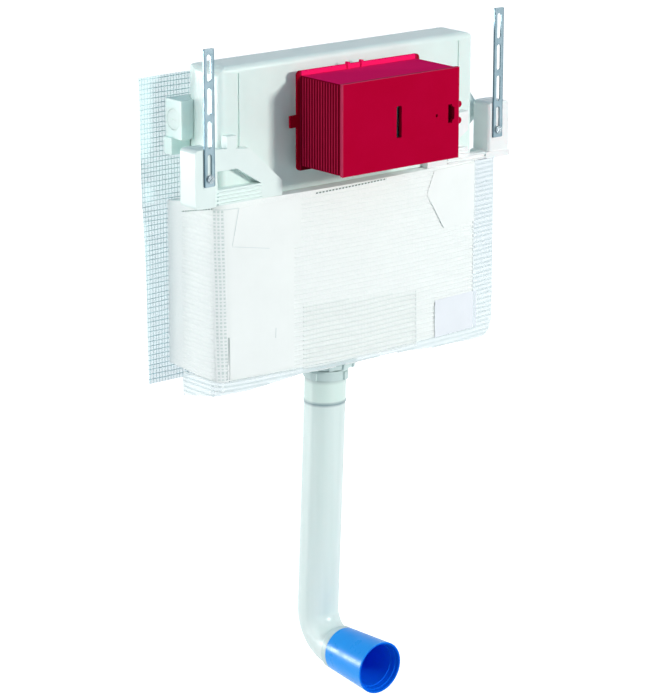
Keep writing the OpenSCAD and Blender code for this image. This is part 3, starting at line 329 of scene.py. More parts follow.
def thread_finish(name, dark, light):
    """Coated glass fibre: fine lengthwise fibres, a little uneven in tone."""
    finish = Finish(name, Roughness=0.62, Sheen_Weight=0.15, Specular_IOR_Level=0.2)
    finish.colour(finish.tinted(finish.noise(150, 3), dark, light))
    finish.bump(finish.noise(2600, 2), 0.3, 0.0002)
    return finish


def lines(finish, axis, pitch):
    """Even ridges across one axis of the part's space."""
    wave = finish.add("ShaderNodeTexWave", wave_type="BANDS", bands_direction=axis)
    wave.inputs["Scale"].default_value = math.pi / (10 * pitch)
    wave.inputs["Distortion"].default_value = 0.6
    wave.inputs["Detail"].default_value = 1.0
    finish.link(finish.place, wave.inputs["Vector"])
    return wave.outputs["Fac"]


def film_finish(name, colour, gloss, ridge):
    """Thin film over mesh: faint creases, with the mesh's threads pressed through."""
    finish = Finish(name, Specular_IOR_Level=0.25)
    finish.colour(finish.tinted(finish.noise(26), shade(colour, 0.975), shade(colour, 1.015)))
    finish.roughness(finish.ranged(finish.noise(60, 3), gloss - 0.06, gloss + 0.08))
    finish.bump(finish.noise(30, 4, stretch=(1, 1, 0.5)), 0.25, 0.0012)
    finish.bump(lines(finish, "Z", FRONT_WEAVE.weft_pitch), ridge, 0.0003)
    finish.bump(lines(finish, "X", FRONT_WEAVE.warp_pitch), ridge / 3, 0.0003)
    return finish


def clear_film_finish(name, low, high, alpha):
    """Half-clear film with soft waves, in one colour at its foot and another at its top."""
    finish = Finish(name, Specular_IOR_Level=0.2, Roughness=0.5, Alpha=alpha)
    rise = finish.ranged(finish.axis("Z"), 0.0, 1.0, BACK_LOW.z, BACK_HIGH.z)
    finish.colour(finish.mixed(rise, low, high))
    finish.bump(finish.noise(24, 3), 0.25, 0.0015)
    return finish


def selvage_shade_finish(name, axis):
    """Edge of the mesh: pale thread ends with painted shade in the short gaps between them, along one axis.
    """
    finish = Finish(name, Specular_IOR_Level=0.1, Roughness=0.7)
    dash = finish.ranged(lines(finish, axis, FRONT_WEAVE.warp_pitch), 0.0, 1.0, 0.45, 0.6)
    # Painted shade: the dark dashes stand for shade in the gaps at the mesh's edge
    finish.colour(finish.mixed(dash, (0.16, 0.21, 0.20), (0.72, 0.80, 0.78)))
    finish.bump(finish.noise(800, 2), 0.2, 0.0002)
    return finish


def strap_finish():
    """Galvanised strap: smooth blue-grey, darker towards its edges, with fine drawn lines."""
    finish = Finish("strap_galvanised", Metallic=0.75)
    beside = finish.add("ShaderNodeMath", operation="ABSOLUTE")
    finish.link(finish.axis("X"), beside.inputs[0])
    offset = finish.add("ShaderNodeMath", operation="SUBTRACT")
    finish.link(beside.outputs["Value"], offset.inputs[0])
    offset.inputs[1].default_value = STRAP_X
    away = finish.add("ShaderNodeMath", operation="ABSOLUTE")
    finish.link(offset.outputs["Value"], away.inputs[0])
    edge = finish.ranged(away.outputs["Value"], 0.0, 1.0, STRAP_HALF - STRAP_RIM, STRAP_HALF - STRAP_RIM / 4)
    face = finish.tinted(finish.noise(90, 3), (0.22, 0.315, 0.36), (0.30, 0.395, 0.44))
    finish.colour(finish.mixed(edge, face, (0.10, 0.17, 0.21)))
    finish.roughness(finish.ranged(finish.noise(160, 3), 0.34, 0.46))
    finish.bump(finish.noise(300, 3, stretch=(6, 6, 0.3)), 0.08, 0.0002)
    return finish


def pipe_finish():
    """Milky pipe plastic: drawn lengthwise, with a dark ring at the bead and a shadow at the lock ring."""
    finish = Finish("pipe_milky", Subsurface_Weight=0.3, Subsurface_Radius=(0.008, 0.01, 0.01),
                    Roughness=0.33, Specular_IOR_Level=0.5)
    height = finish.axis("Z")
    streak = finish.noise(70, 2, stretch=(1, 1, 0.02))
    plain = finish.tinted(streak, (0.70, 0.815, 0.79), (0.78, 0.885, 0.87))
    above = finish.ranged(height, 0.0, 1.0, BEAD_Z, BEAD_Z + BEAD_BLEND)
    body = finish.mixed(above, plain, (0.72, 0.86, 0.815))
    below = finish.ranged(height, 0.0, 1.0, BEAD_Z - BEAD_HALF, BEAD_Z)
    over = finish.ranged(height, 1.0, 0.0, BEAD_Z, BEAD_Z + BEAD_HALF)
    ring = finish.add("ShaderNodeMath", operation="MULTIPLY")
    finish.link(below, ring.inputs[0])
    finish.link(over, ring.inputs[1])
    ringed = finish.mixed(ring.outputs["Value"], body, (0.24, 0.34, 0.37))
    under = finish.ranged(height, 0.0, 0.75, LOCK_LOW_Z - LOCK_SHADOW, LOCK_LOW_Z + LOCK_SHADOW / 5)
    finish.colour(finish.mixed(under, ringed, (0.36, 0.46, 0.45)))
    finish.bump(finish.noise(50, 1, stretch=(2, 2, 0.02)), 0.05, 0.0006)
    return finish


def distance_inside(finish, axis, middle, half):
    """How far a place lies inside a slab round a middle value of one axis, less than none outside."""
    offset = finish.add("ShaderNodeMath", operation="SUBTRACT")
    finish.link(finish.axis(axis), offset.inputs[0])
    offset.inputs[1].default_value = middle
    size = finish.add("ShaderNodeMath", operation="ABSOLUTE")
    finish.link(offset.outputs["Value"], size.inputs[0])
    inside = finish.add("ShaderNodeMath", operation="SUBTRACT")
    inside.inputs[0].default_value = half
    finish.link(size.outputs["Value"], inside.inputs[1])
    return inside.outputs["Value"]


def lid_finish():
    """Red lid, with a painted highlight in pale pink along its outer edges."""
    finish = Finish("lid_scarlet", Specular_IOR_Level=0.0, Roughness=0.42)
    red = finish.tinted(finish.noise(22), (0.45, 0.0008, 0.029), (0.47, 0.0012, 0.034))
    nearest = finish.add("ShaderNodeMath", operation="MINIMUM")
    finish.link(distance_inside(finish, "X", LID_MID_X, LID_HALF_X), nearest.inputs[0])
    finish.link(distance_inside(finish, "Z", LID_MID_Z, LID_HALF_Z), nearest.inputs[1])
    # Painted highlight: pale pink along the lid's outer edges, fading inwards
    highlight = finish.ranged(nearest.outputs["Value"], 0.2, 0.0, EDGE_HIGHLIGHT * 0.3, EDGE_HIGHLIGHT)
    within = finish.ranged(nearest.outputs["Value"], 0.0, 1.0, -EDGE_HIGHLIGHT / 3, -EDGE_HIGHLIGHT / 9)
    edge = finish.add("ShaderNodeMath", operation="MULTIPLY")
    finish.link(highlight, edge.inputs[0])
    finish.link(within, edge.inputs[1])
    finish.colour(finish.mixed(edge.outputs["Value"], red, (0.82, 0.22, 0.42)))
    finish.bump(finish.noise(900, 2), 0.08, 0.0002)
    return finish


def box_finish():
    """Dark red box: painted shade between its side ribs, a painted highlight on the ribs, painted light above
    and painted shade below.
    """
    finish = Finish("box_crimson", Specular_IOR_Level=0.0, Roughness=0.38)
    inside = distance_inside(finish, "X", LID_MID_X, BOX_HALF)
    # Painted shade on the side wall between the ribs
    wall = finish.ranged(inside, 0.0, 1.0, -RIB_OUT * 0.8, -RIB_OUT * 0.2)
    level = finish.ranged(inside, 0.0, 1.0, RIB_OUT / 6, RIB_OUT * 2 / 3)
    # Painted highlight: the ribs redder than the wall between them
    flank = finish.ranged(inside, 1.0, 0.0, -RIB_OUT * 3 / 2, -RIB_OUT * 7 / 6)
    rib = finish.mixed(flank, (0.50, 0.014, 0.062), (0.34, 0.002, 0.016))
    side = finish.mixed(wall, rib, (0.225, 0.001, 0.016))
    # Painted light towards the top and painted shade towards the bottom
    upper = finish.ranged(finish.axis("Z"), 0.0, 1.0, LID_MID_Z - BOX_SHADE, LID_MID_Z + BOX_SHADE)
    broad = finish.mixed(upper, (0.16, 0.002, 0.012), (0.94, 0.013, 0.150))
    finish.colour(finish.mixed(level, side, broad))
    finish.bump(finish.noise(700, 2), 0.08, 0.0002)
    return finish


FINISHES = {
    "tank_plastic": tank_finish(),
    "foam": foam_finish(),
    "mesh": thread_finish("mesh_threads", (0.92, 0.965, 0.95), (0.955, 0.985, 0.975)),
    "bracket_plastic": moulded("bracket_white", (0.83, 0.935, 0.91), rough=0.4, cloud=0.03,
                               Specular_IOR_Level=0.3),
    "screw_steel": metal("screw_zinc", (0.24, 0.30, 0.33), (0.46, 0.52, 0.55), 0.34, 500),
    "strap_steel": strap_finish(),
    "box_red": box_finish(),
    "lid_red": lid_finish(),
    "seal_rubber": moulded("seal_black", (0.025, 0.027, 0.03), rough=0.62, cloud=0.2),
    "white_plastic": moulded("valve_white", (0.60, 0.73, 0.72), rough=0.38, Specular_IOR_Level=0.3),
    "pipe_plastic": pipe_finish(),
    "cap_blue": moulded("cap_azure", (0.006, 0.34, 0.98), rough=0.30, cloud=0.04, Specular_IOR_Level=0.22),
    "grey_plastic": moulded("fitting_grey", (0.30, 0.34, 0.36), rough=0.42, cloud=0.1),
    "pin_steel": metal("pin_steel", (0.45, 0.46, 0.48), (0.62, 0.63, 0.65), 0.26, 900),
    "socket_brass": metal("socket_brass", (0.60, 0.42, 0.16), (0.75, 0.55, 0.25), 0.3, 260),
    "handle_blue": moulded("handle_blue", (0.02, 0.10, 0.42), rough=0.4, cloud=0.1),
}
# Painted shade: a darker copy of the cap's blue for the inside of the cup, against the lighter outside
CAP_INSIDE_SHADED = moulded("cap_inside_shaded", (0.002, 0.155, 0.88), rough=0.4, cloud=0.06, Specular_IOR_Level=0.02)
OWN_FINISHES = {
    # Painted light: a paler copy of the bracket plastic for the right bracket, which stands in shade
    "right_bracket": moulded("bracket_painted_light", (0.97, 0.99, 0.985), rough=0.4, cloud=0.02,
                             Specular_IOR_Level=0.3, Subsurface_Weight=0.9,
                             Subsurface_Radius=(0.02, 0.022, 0.022)),
    "pipe_socket": moulded("socket_milky", (0.62, 0.74, 0.74), rough=0.36, cloud=0.03,
                           Specular_IOR_Level=0.3),
    "outlet_nut": moulded("nut_milky", (0.66, 0.79, 0.78), rough=0.38, cloud=0.03,
                          Specular_IOR_Level=0.3),
}
BACK_THREAD = thread_finish("back_threads", (0.82, 0.92, 0.92), (0.90, 0.97, 0.97))
LAYER_THREAD = thread_finish("layer_threads", (0.84, 0.895, 0.88), (0.88, 0.925, 0.91))
CORNER_THREAD = thread_finish("corner_threads", (0.92, 0.955, 0.945), (0.95, 0.975, 0.97))
MARGIN_FILM = clear_film_finish("margin_film", (0.90, 0.985, 1.0), (0.72, 0.80, 0.87), 0.42)
PATCH_FILM = film_finish("patch_film", (0.94, 0.97, 0.955), 0.55, 0.04)
LILAC_FILM = film_finish("lilac_film", (0.87, 0.90, 0.95), 0.5, 0.02)
# Painted shade: dark and faint strips laid where lines of shade fall
DARK_SHADE_LINE = film_finish("shade_line", (0.50, 0.56, 0.55), 0.6, 0.02)
FAINT_SHADE_LINE = film_finish("faint_shade_line", (0.77, 0.83, 0.83), 0.6, 0.02)
# Painted shade: a darker sheet behind the corner strip stands for shade in the mesh's gaps
SHADE_BACKING = film_finish("corner_shade_backing", (0.72, 0.80, 0.78), 0.6, 0.02)
BACK_FILM = clear_film_finish("back_film", (0.50, 0.80, 0.86), (0.54, 0.82, 0.84), 0.27)
SELVAGE_SHADE = selvage_shade_finish("selvage_front_shade", "X")
SIDE_SELVAGE_SHADE = selvage_shade_finish("selvage_side_shade", "Y")

SLOT_OF = {row["node"]: row["material_slot"] for row in frame["record"]["subparts"]}
for node, slot in SLOT_OF.items():
    nodes[node].data.materials.clear()
    nodes[node].data.materials.append(FINISHES[slot].material)

# Softened edges
BODY_OF = {node: body for body, listed in frame["record"]["behaviour"]["bodies"].items() for node in listed}
FLAT_ANGLE = math.radians(0.1)
SHARP_ANGLE = math.radians(32)
SMOOTH_ANGLE = math.radians(15)
FILM_ANGLE = math.radians(40)
MERGE_DISTANCE = 0.000002
SOFT_EDGES = {
    "tank": 0.0012, "inlet_block": 0.0028, "foam_jacket": 0.0018,
    "left_bracket": 0.0009, "right_bracket": 0.0009, "access_box": 0.0003, "access_lid": 0.0005,
    "left_strap": 0.0003, "right_strap": 0.0003, "strap_screws": 0.0004,
    "outlet_nut": 0.0007, "lock_ring": 0.0006, "flush_pipe": 0.0004,
    "pipe_socket": 0.0006, "protective_cap": 0.0006,
    "port_plug": 0.0009, "inlet_socket": 0.0003, "inlet_cover": 0.0001,
}


def softened(node, width):
    """A copy of a CAD node with its sharp edges rounded, which stands for the node."""
    form = bmesh.new()
    form.from_mesh(nodes[node].data)
    bmesh.ops.remove_doubles(form, verts=form.verts, dist=MERGE_DISTANCE)
    bmesh.ops.dissolve_limit(form, angle_limit=FLAT_ANGLE, verts=form.verts, edges=form.edges)
    sharp = [e for e in form.edges if len(e.link_faces) == 2 and e.calc_face_angle() > SHARP_ANGLE]
    bmesh.ops.bevel(form, geom=sharp, offset=width, offset_type="OFFSET", segments=2, profile=0.5,
                    affect="EDGES", clamp_overlap=True)
    made = settled(node + "_soft", form, FINISHES[SLOT_OF[node]], SMOOTH_ANGLE)
    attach(made, BODY_OF[node])
    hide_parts(node)
    return made


# Shared mesh work


def settled(name, form, finish, smooth_angle=None):
    """A scene object from finished mesh work, with its material."""
    mesh = bpy.data.meshes.new(name)
    bmesh.ops.recalc_face_normals(form, faces=form.faces)
    form.to_mesh(mesh)
    form.free()
    mesh.materials.append(finish.material)
    if smooth_angle:
        mesh.polygons.foreach_set("use_smooth", [True] * len(mesh.polygons))
        mesh.set_sharp_from_angle(angle=smooth_angle)
    made = bpy.data.objects.new(name, mesh)
    scene.collection.objects.link(made)
    return made


def thread(form, places, outs, sides, wide, thick):
    """A flat thread through listed places, four-sided and closed at both ends."""
    rings = []
    for place, out, side in zip(places, outs, sides):
        reach = side * (wide / 2)
        rise = out * (thick / 2)
        corners = (place - reach, place + rise, place + reach, place - rise)
        rings.append([form.verts.new(c) for c in corners])
    for low, high in zip(rings, rings[1:]):
        for i in range(4):
            form.faces.new((low[i], low[i - 1], high[i - 1], high[i]))
    form.faces.new(rings[0])
    form.faces.new(rings[-1])


def net(name, weave, finish, surface, length, bottom, top, ends):
    """A woven net of long threads on a curved sheet.

    surface(along, z, lift) gives a place and its outward direction. Its edges are bottom and top, heights
    at a length along the sheet, and ends, the first and last lengths at a height.
    """
    form = bmesh.new()
    up = Vector((0, 0, 1))
    columns = max(2, round(length / weave.warp_pitch))
    lowest = min(bottom(length * i / FOOT_SAMPLES) for i in range(FOOT_SAMPLES + 1))
    rows = round((max(top(0), top(length)) - lowest) / weave.weft_pitch)
    for row in range(rows + 1):
        base = lowest + row * weave.weft_pitch + rng.uniform(-ROW_JITTER, ROW_JITTER)
        phase = rng.uniform(0, PHASE_RANGE)
        wave = rng.uniform(ROW_WAVE_LEAST, ROW_WAVE_MOST)
        places, outs, sides = [], [], []

        def weft_done():
            if len(places) > 1:
                thread(form, places, outs, sides, weave.weft_wide, weave.thick)
            places.clear()
            outs.clear()
            sides.clear()

        for step in range(columns + 1):
            along = min(max(step * length / columns, ends(base)[0]), ends(base)[1])
            z = base + wave * math.sin(phase + along * ROW_WAVES)
            if not bottom(along) <= z <= top(along):
                weft_done()
                continue
            place, out = surface(along, z, 0)
            if places and (place - places[-1]).length < SHORT_STEP:
                continue
            places.append(place)
            outs.append(out)
            sides.append(up)
        weft_done()
    for column in range(columns + 1):
        along = column * length / columns
        phase = rng.uniform(0, PHASE_RANGE)
        low, high = bottom(along), top(along)
        count = max(2, round((high - low) / weave.weft_pitch))
        places, outs, sides = [], [], []
        for step in range(count + 1):
            z = low + (high - low) * step / count
            start, end = ends(z)
            drift = along + COLUMN_DRIFT * math.sin(phase + z * COLUMN_WAVES)
            if not start <= drift <= end:
                continue
            lift = weave.depth if weave.depth < 0 or (step + column) % 2 else -weave.depth
            place, out = surface(drift, z, lift)
            places.append(place)
            outs.append(out)
            sides.append(out.cross(up))
        if len(places) > 1:
            flat = min(weave.thick, weave.warp_wide * WARP_FLAT)
            thread(form, places, outs, sides, weave.warp_wide, flat)
    return settled(name, form, finish)


def film(name, surface, outline, thick, finish, lift):
    """A thin closed sheet laid on a curved surface, filled inside an outline of (along, z) points."""
    form = bmesh.new()
    flat = [form.verts.new((along, 0, z)) for along, z in outline]
    form.faces.new(flat)
    for axis, index in ((Vector((1, 0, 0)), 0), (Vector((0, 0, 1)), 2)):
        low = min(v.co[index] for v in form.verts)
        high = max(v.co[index] for v in form.verts)
        count = int((high - low) / FILM_STEP)
        for i in range(1, count + 1):
            cut = axis * (low + (high - low) * i / (count + 1))
            geom = form.verts[:] + form.edges[:] + form.faces[:]
            bmesh.ops.bisect_plane(form, geom=geom, plane_co=cut, plane_no=axis)
    grown = bmesh.ops.extrude_face_region(form, geom=form.faces[:])
    outer = {v for v in grown["geom"] if isinstance(v, bmesh.types.BMVert)}
    for vert in form.verts:
        along, _, z = vert.co
        rise = lift(along, z) + (thick if vert in outer else 0)
        vert.co, _ = surface(along, z, rise)
    return settled(name, form, finish, FILM_ANGLE)


soft = {node: softened(node, width) for node, width in SOFT_EDGES.items()}

# Inside of the cap: painted shade, a darker copy of the cap's blue
CAP_AXIS_PLACE = Vector((0, -0.07822, -0.375861))
PIPE_LEAN = math.radians(2.7)
CAP_AXIS = Vector((0, -math.cos(PIPE_LEAN), -math.sin(PIPE_LEAN)))
FLOOR_FACING = 0.95


def paint_inside_shade(piece, finish):
    """A second, darker finish, painted shade, on the faces that look in towards the cap's axis, and on its
    floor.
    """
    piece.data.materials.append(finish.material)
    for face in piece.data.polygons:
        from_axis = face.center - CAP_AXIS_PLACE
        from_axis -= CAP_AXIS * from_axis.dot(CAP_AXIS)
        if face.normal.dot(from_axis) < 0 or face.normal.dot(CAP_AXIS) > FLOOR_FACING:
            face.material_index = 1


paint_inside_shade(soft["protective_cap"], CAP_INSIDE_SHADED)
for node, finish in OWN_FINISHES.items():
    soft[node].data.materials[0] = finish.material

# Front mesh and its film
MESH_FOOT = ((-0.187, -0.0143), (-0.161, -0.0141), (-0.141, -0.0121), (-0.121, -0.0099), (-0.1015, -0.0078),
             (-0.087, -0.0062), (0.043, -0.0052), (0.139, -0.0112), (0.19, -0.0138), (0.225, -0.0138))
SIDE_FOOT = -0.0275
FOOT_ROUND = 0.020
WRAP_END = wrap_length(FRONT_RIGHT_X)
CORNER_END = wrap_length(-0.187)
MESH_TOP = ((0.0, 0.1910), (0.0356, 0.1993), (0.0582, 0.2037), (wrap_length(-0.17), 0.2040),
            (wrap_length(-0.06), 0.2070), (wrap_length(0.04), 0.2093))


def wrap_x(along):
    return point_on_wrap(along, 0)[0].x


def wrap_surface(along, z, lift):
    place, out = point_on_wrap(along, NET_OFF + lift)
    place.z = z
    return place, out


def wrap_foot(along):
    """Lower edge of the front mesh, which hangs deepest on the left side and is rounded at its right end."""
    if along <= CORNER_END:
        return SIDE_FOOT + (MESH_FOOT[0][1] - SIDE_FOOT) * along / CORNER_END
    foot = blend_points(MESH_FOOT, wrap_x(along))
    past = along - (WRAP_END - FOOT_ROUND)
    if past > 0:
        foot += FOOT_ROUND - math.sqrt(max(0, FOOT_ROUND ** 2 - past ** 2))
    return foot


def wrap_top(along):
    """Upper edge of the front mesh, which drops round the corner and along the left side."""
    return blend_points(MESH_TOP, along)


def wrap_ends(z):
    return 0.0, WRAP_END


front_net = net("front_net", FRONT_WEAVE, FINISHES["mesh"], wrap_surface, WRAP_END, wrap_foot, wrap_top,
                wrap_ends)
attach(front_net, "cistern")
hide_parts("front_mesh", "side_mesh")
FRONT_HEIGHT = FRONT_HIGH_Z - FRONT_LOW_Z

# Back mesh
BACK_WIDTH = BACK_HIGH.x - BACK_LOW.x
BACK_HEIGHT = BACK_HIGH.z - BACK_LOW.z
BACK_MID_Y = (BACK_LOW.y + BACK_HIGH.y) / 2
BACK_LEAN = 0.010
WING_CURL = 0.0025
CURL_WAVES_UP = 26
CURL_WAVES_ACROSS = 5


def back_surface(along, z, lift):
    x = BACK_LOW.x + along
    free = max(0.0, abs(x) - FOAM_HALF) / (BACK_HIGH.x - FOAM_HALF)
    curl = WING_CURL * free * (0.5 + 0.5 * math.sin(z * CURL_WAVES_UP + x * CURL_WAVES_ACROSS))
    return Vector((x, BACK_MID_Y - curl - lift, z)), Vector((0, -1, 0))


def back_foot(along):
    return BACK_LOW.z


def back_top(along):
    return BACK_HIGH.z


def back_ends(z):
    """The left and right edges lean in towards the foot."""
    lean = BACK_LEAN * (BACK_HIGH.z - z) / BACK_HEIGHT
    return lean, BACK_WIDTH - lean


back_net = net("back_net", BACK_WEAVE, BACK_THREAD, back_surface, BACK_WIDTH, back_foot, back_top, back_ends)
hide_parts("back_mesh")

# Film at the margins and patches on the front
FILM_THICK = 0.00025
FILM_LAP = 0.0085
FILM_FOOT = 0.0015
FILM_TOP = FRONT_HIGH_Z - 0.001
MARGIN_STEPS = 90
BACK_FILM_LIFT = 0.00025
ON_NET = 0.0003
OVER_NET = 0.0004
SHADE_LINE_LIFT = 0.0007
CURL_REACH = 0.012


def flat_lift(rise):
    return lambda along, z: rise


def margin_outline():
    """The strip below the foam and past its right edge, with the foot of the mesh as its outer edge."""
    inner_right = wrap_length(FOAM_HALF - FILM_LAP)
    lengths = [WRAP_END * i / MARGIN_STEPS for i in range(MARGIN_STEPS + 1)]
    outer = [(along, wrap_foot(along)) for along in lengths]
    outer.append((WRAP_END, FILM_TOP))
    inner = [(inner_right, FILM_TOP), (inner_right, FILM_FOOT), (0.0, FILM_FOOT)]
    return outer + inner


margin_film = film("margin_film", wrap_surface, margin_outline(), FILM_THICK, MARGIN_FILM,
                   flat_lift(OVER_NET))
back_outline = [(BACK_LEAN, BACK_LOW.z), (BACK_WIDTH - BACK_LEAN, BACK_LOW.z), (BACK_WIDTH, BACK_HIGH.z),
                (0.0, BACK_HIGH.z)]
back_film = film("back_film", back_surface, back_outline, FILM_THICK, BACK_FILM, flat_lift(BACK_FILM_LIFT))


def box_outline(left, right, low, high):
    """Corner points of a patch on the bowed front, from X and Z in metres."""
    start, end = wrap_length(left), wrap_length(right)
    return [(start, low), (end, low), (end, high), (start, high)]


def curled(left, rise, curl):
    """Lifts a patch's left edge off the mesh."""
    edge = wrap_length(left)

    def lift(along, z):
        return rise + curl * max(0.0, 1 - (along - edge) / CURL_REACH) ** 2

    return lift


LABEL_LEFT = -0.1790
LABEL_CORNERS = ((LABEL_LEFT, 0.1592), (-0.1291, 0.1506), (-0.085, 0.1500), (-0.085, 0.2045),
                 (-0.1697, 0.2030))
label_outline = [(wrap_length(x), z) for x, z in LABEL_CORNERS]
label_patch = film("label_patch", wrap_surface, label_outline, FILM_THICK, PATCH_FILM,
                   curled(LABEL_LEFT, OVER_NET, 0.0005))
FOOT_LEFT = -0.1835
foot_outline = box_outline(FOOT_LEFT, -0.121, 0.003, 0.052)
foot_patch = film("foot_patch", wrap_surface, foot_outline, FILM_THICK, PATCH_FILM,
                  curled(FOOT_LEFT, OVER_NET, 0.0006))
LEFT_EDGE = wrap_length(-0.187) - 0.006
LEFT_END = wrap_length(-0.095)
left_outline = [(LEFT_EDGE, 0.004), (LEFT_END, 0.004), (LEFT_END, 0.2045), (LEFT_EDGE, 0.2020)]
left_patch = film("left_patch", wrap_surface, left_outline, FILM_THICK, PATCH_FILM, flat_lift(ON_NET))
SIDE_CORNERS = ((0.1369, 0.1341), (0.192, 0.134), (0.192, 0.206), (0.120, 0.206), (0.108, 0.179))
side_outline = [(wrap_length(x), z) for x, z in SIDE_CORNERS]
side_patch = film("side_patch", wrap_surface, side_outline, FILM_THICK, PATCH_FILM, flat_lift(ON_NET))
LILAC_LEFT = 0.123
lilac_outline = box_outline(LILAC_LEFT, 0.196, 0.001, 0.047)
lilac_patch = film("lilac_patch", wrap_surface, lilac_outline, FILM_THICK, LILAC_FILM,
                   curled(LILAC_LEFT, OVER_NET, 0.0003))


def shade_line(name, start, end, wide, finish):
    """A thin strip of painted shade between two places on the wrap, each a length along it and a height in
    metres.
    """
    run = Vector((end[0] - start[0], end[1] - start[1]))
    aside = Vector((-run.y, run.x)).normalized() * (wide / 2)
    ends = [Vector(start) - aside, Vector(start) + aside, Vector(end) + aside, Vector(end) - aside]
    made = film(name, wrap_surface, [(p.x, p.y) for p in ends], FILM_THICK, finish, flat_lift(SHADE_LINE_LIFT))
    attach(made, "cistern")


# Painted shade lines along patch edges, the corner strip, the second layer and the foam's foot
SHADE_LINES = (
    ("label_left_shade", (-0.1788, 0.160), (-0.1699, 0.2030), 0.0008, FAINT_SHADE_LINE),
    ("label_low_shade", (-0.1788, 0.1590), (-0.1291, 0.1505), 0.0007, FAINT_SHADE_LINE),
    ("slit_shade", (0.1369, 0.1341), (0.1145, 0.1695), 0.0009, FAINT_SHADE_LINE),
    ("tick_shade", (-0.121, 0.043), (-0.1205, 0.055), 0.0009, FAINT_SHADE_LINE),
    ("foot_left_shade", (-0.1862, 0.003), (-0.1848, 0.053), 0.0018, DARK_SHADE_LINE),
    ("lilac_left_shade", (0.1228, 0.008), (0.1222, 0.042), 0.0008, FAINT_SHADE_LINE),
    ("layer_right_shade", (0.0915, -0.003), (0.0905, 0.065), 0.0009, FAINT_SHADE_LINE),
    ("hem_shade", (-0.1839, 0.0006), (-0.0887, -0.0008), 0.0010, FAINT_SHADE_LINE),
    ("front_selvage_shade", (-0.0635, 0.2062), (0.042, 0.2085), 0.0015, SELVAGE_SHADE),
)
for name, start, end, wide, finish in SHADE_LINES:
    shade_line(name, (wrap_length(start[0]), start[1]), (wrap_length(end[0]), end[1]), wide, finish)
# Painted shade lines along the mesh's top and foot on the left side and round the corner
SIDE_SHADE_LINES = (
    ("side_top_shade", (0.001, wrap_top(0.001)), (0.057, wrap_top(0.057)), 0.0012, SIDE_SELVAGE_SHADE),
    ("corner_top_shade", (0.060, 0.2030), (wrap_length(-0.171), 0.2030), 0.0010, FAINT_SHADE_LINE),
    ("side_foot_shade", (0.002, 0.0010), (0.062, 0.0010), 0.0014, FAINT_SHADE_LINE),
)
for name, start, end, wide, finish in SIDE_SHADE_LINES:
    shade_line(name, start, end, wide, finish)

# Second layer of mesh on the lower front
LAYER_LEFT = wrap_length(-0.082)
LAYER_RIGHT = wrap_length(0.091)
LAYER_WIDTH = LAYER_RIGHT - LAYER_LEFT
LAYER_LIFT = 0.0009
LAYER_FOOT_RISE = 0.003
LAYER_TOP = 0.078
LAYER_DROP = 0.013


def layer_surface(along, z, lift):
    return wrap_surface(along + LAYER_LEFT, z, lift + LAYER_LIFT)


def layer_foot(along):
    return wrap_foot(along + LAYER_LEFT) + LAYER_FOOT_RISE


def layer_top(along):
    return LAYER_TOP - LAYER_DROP * along / LAYER_WIDTH


def layer_ends(z):
    return 0.0, LAYER_WIDTH


layer_net = net("layer_net", LAYER_WEAVE, LAYER_THREAD, layer_surface, LAYER_WIDTH, layer_foot, layer_top,
                layer_ends)

# Strip of mesh folded round the left corner
STRIP_START = 0.0570
STRIP_WIDTH = 0.0128
STRIP_LEAN = 0.0038
STRIP_LIFT = 0.0009
STRIP_FOOT = 0.001
STRIP_TOP = 0.2025
BACKING_INSET = 0.0005
BACKING_FOOT = 0.002
BACKING_TOP = 0.2020
BACKING_LIFT = -0.0003


def strip_surface(along, z, lift):
    lean = STRIP_LEAN * (1 - z / FRONT_HIGH_Z)
    return wrap_surface(along + STRIP_START + lean, z, lift + STRIP_LIFT)


def strip_foot(along):
    return STRIP_FOOT


def strip_top(along):
    return STRIP_TOP


def strip_ends(z):
    return 0.0, STRIP_WIDTH


BACKING_END = STRIP_WIDTH - BACKING_INSET
strip_outline = [(BACKING_INSET, BACKING_FOOT), (BACKING_END, BACKING_FOOT), (BACKING_END, BACKING_TOP),
                 (BACKING_INSET, BACKING_TOP)]
# Painted shade behind the corner net, seen through its gaps
corner_shade_backing = film("corner_shade_backing", strip_surface, strip_outline, FILM_THICK, SHADE_BACKING,
                      flat_lift(BACKING_LIFT))
corner_net = net("corner_net", CORNER_WEAVE, CORNER_THREAD, strip_surface, STRIP_WIDTH, strip_foot, strip_top,
                 strip_ends)

LAYER_HEIGHT = layer_top(0) - layer_foot(LAYER_WIDTH / 2)
BACK_AREA = BACK_WEAVE.area(BACK_WIDTH, BACK_HEIGHT)
LAYER_AREA = LAYER_WEAVE.area(LAYER_WIDTH, LAYER_HEIGHT)
CORNER_AREA = CORNER_WEAVE.area(STRIP_WIDTH, FRONT_HEIGHT)
SHEETS = (
    (back_net, (BACK_WIDTH, BACK_HEIGHT), "stretched", "tank", BACK_AREA),
    (back_film, (BACK_WIDTH, BACK_HEIGHT), "stretched", "tank", None),
    (layer_net, (LAYER_WIDTH, LAYER_HEIGHT), "laid", "foam_jacket", LAYER_AREA),
    (corner_net, (STRIP_WIDTH, FRONT_HEIGHT), "folded", "foam_jacket", CORNER_AREA),
    (corner_shade_backing, (STRIP_WIDTH, FRONT_HEIGHT), "folded", "foam_jacket", None),
    (label_patch, (0.095, 0.0545), "laid", "foam_jacket", None),
    (foot_patch, (0.0625, 0.049), "laid", "foam_jacket", None),
    (left_patch, (0.099, 0.2005), "laid", "foam_jacket", None),
    (side_patch, (0.070, 0.072), "laid", "foam_jacket", None),
    (lilac_patch, (0.073, 0.046), "laid", "foam_jacket", None),
)
for piece, flat, held, carrier, area in SHEETS:
    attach(piece, "cistern")
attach(margin_film, "cistern")

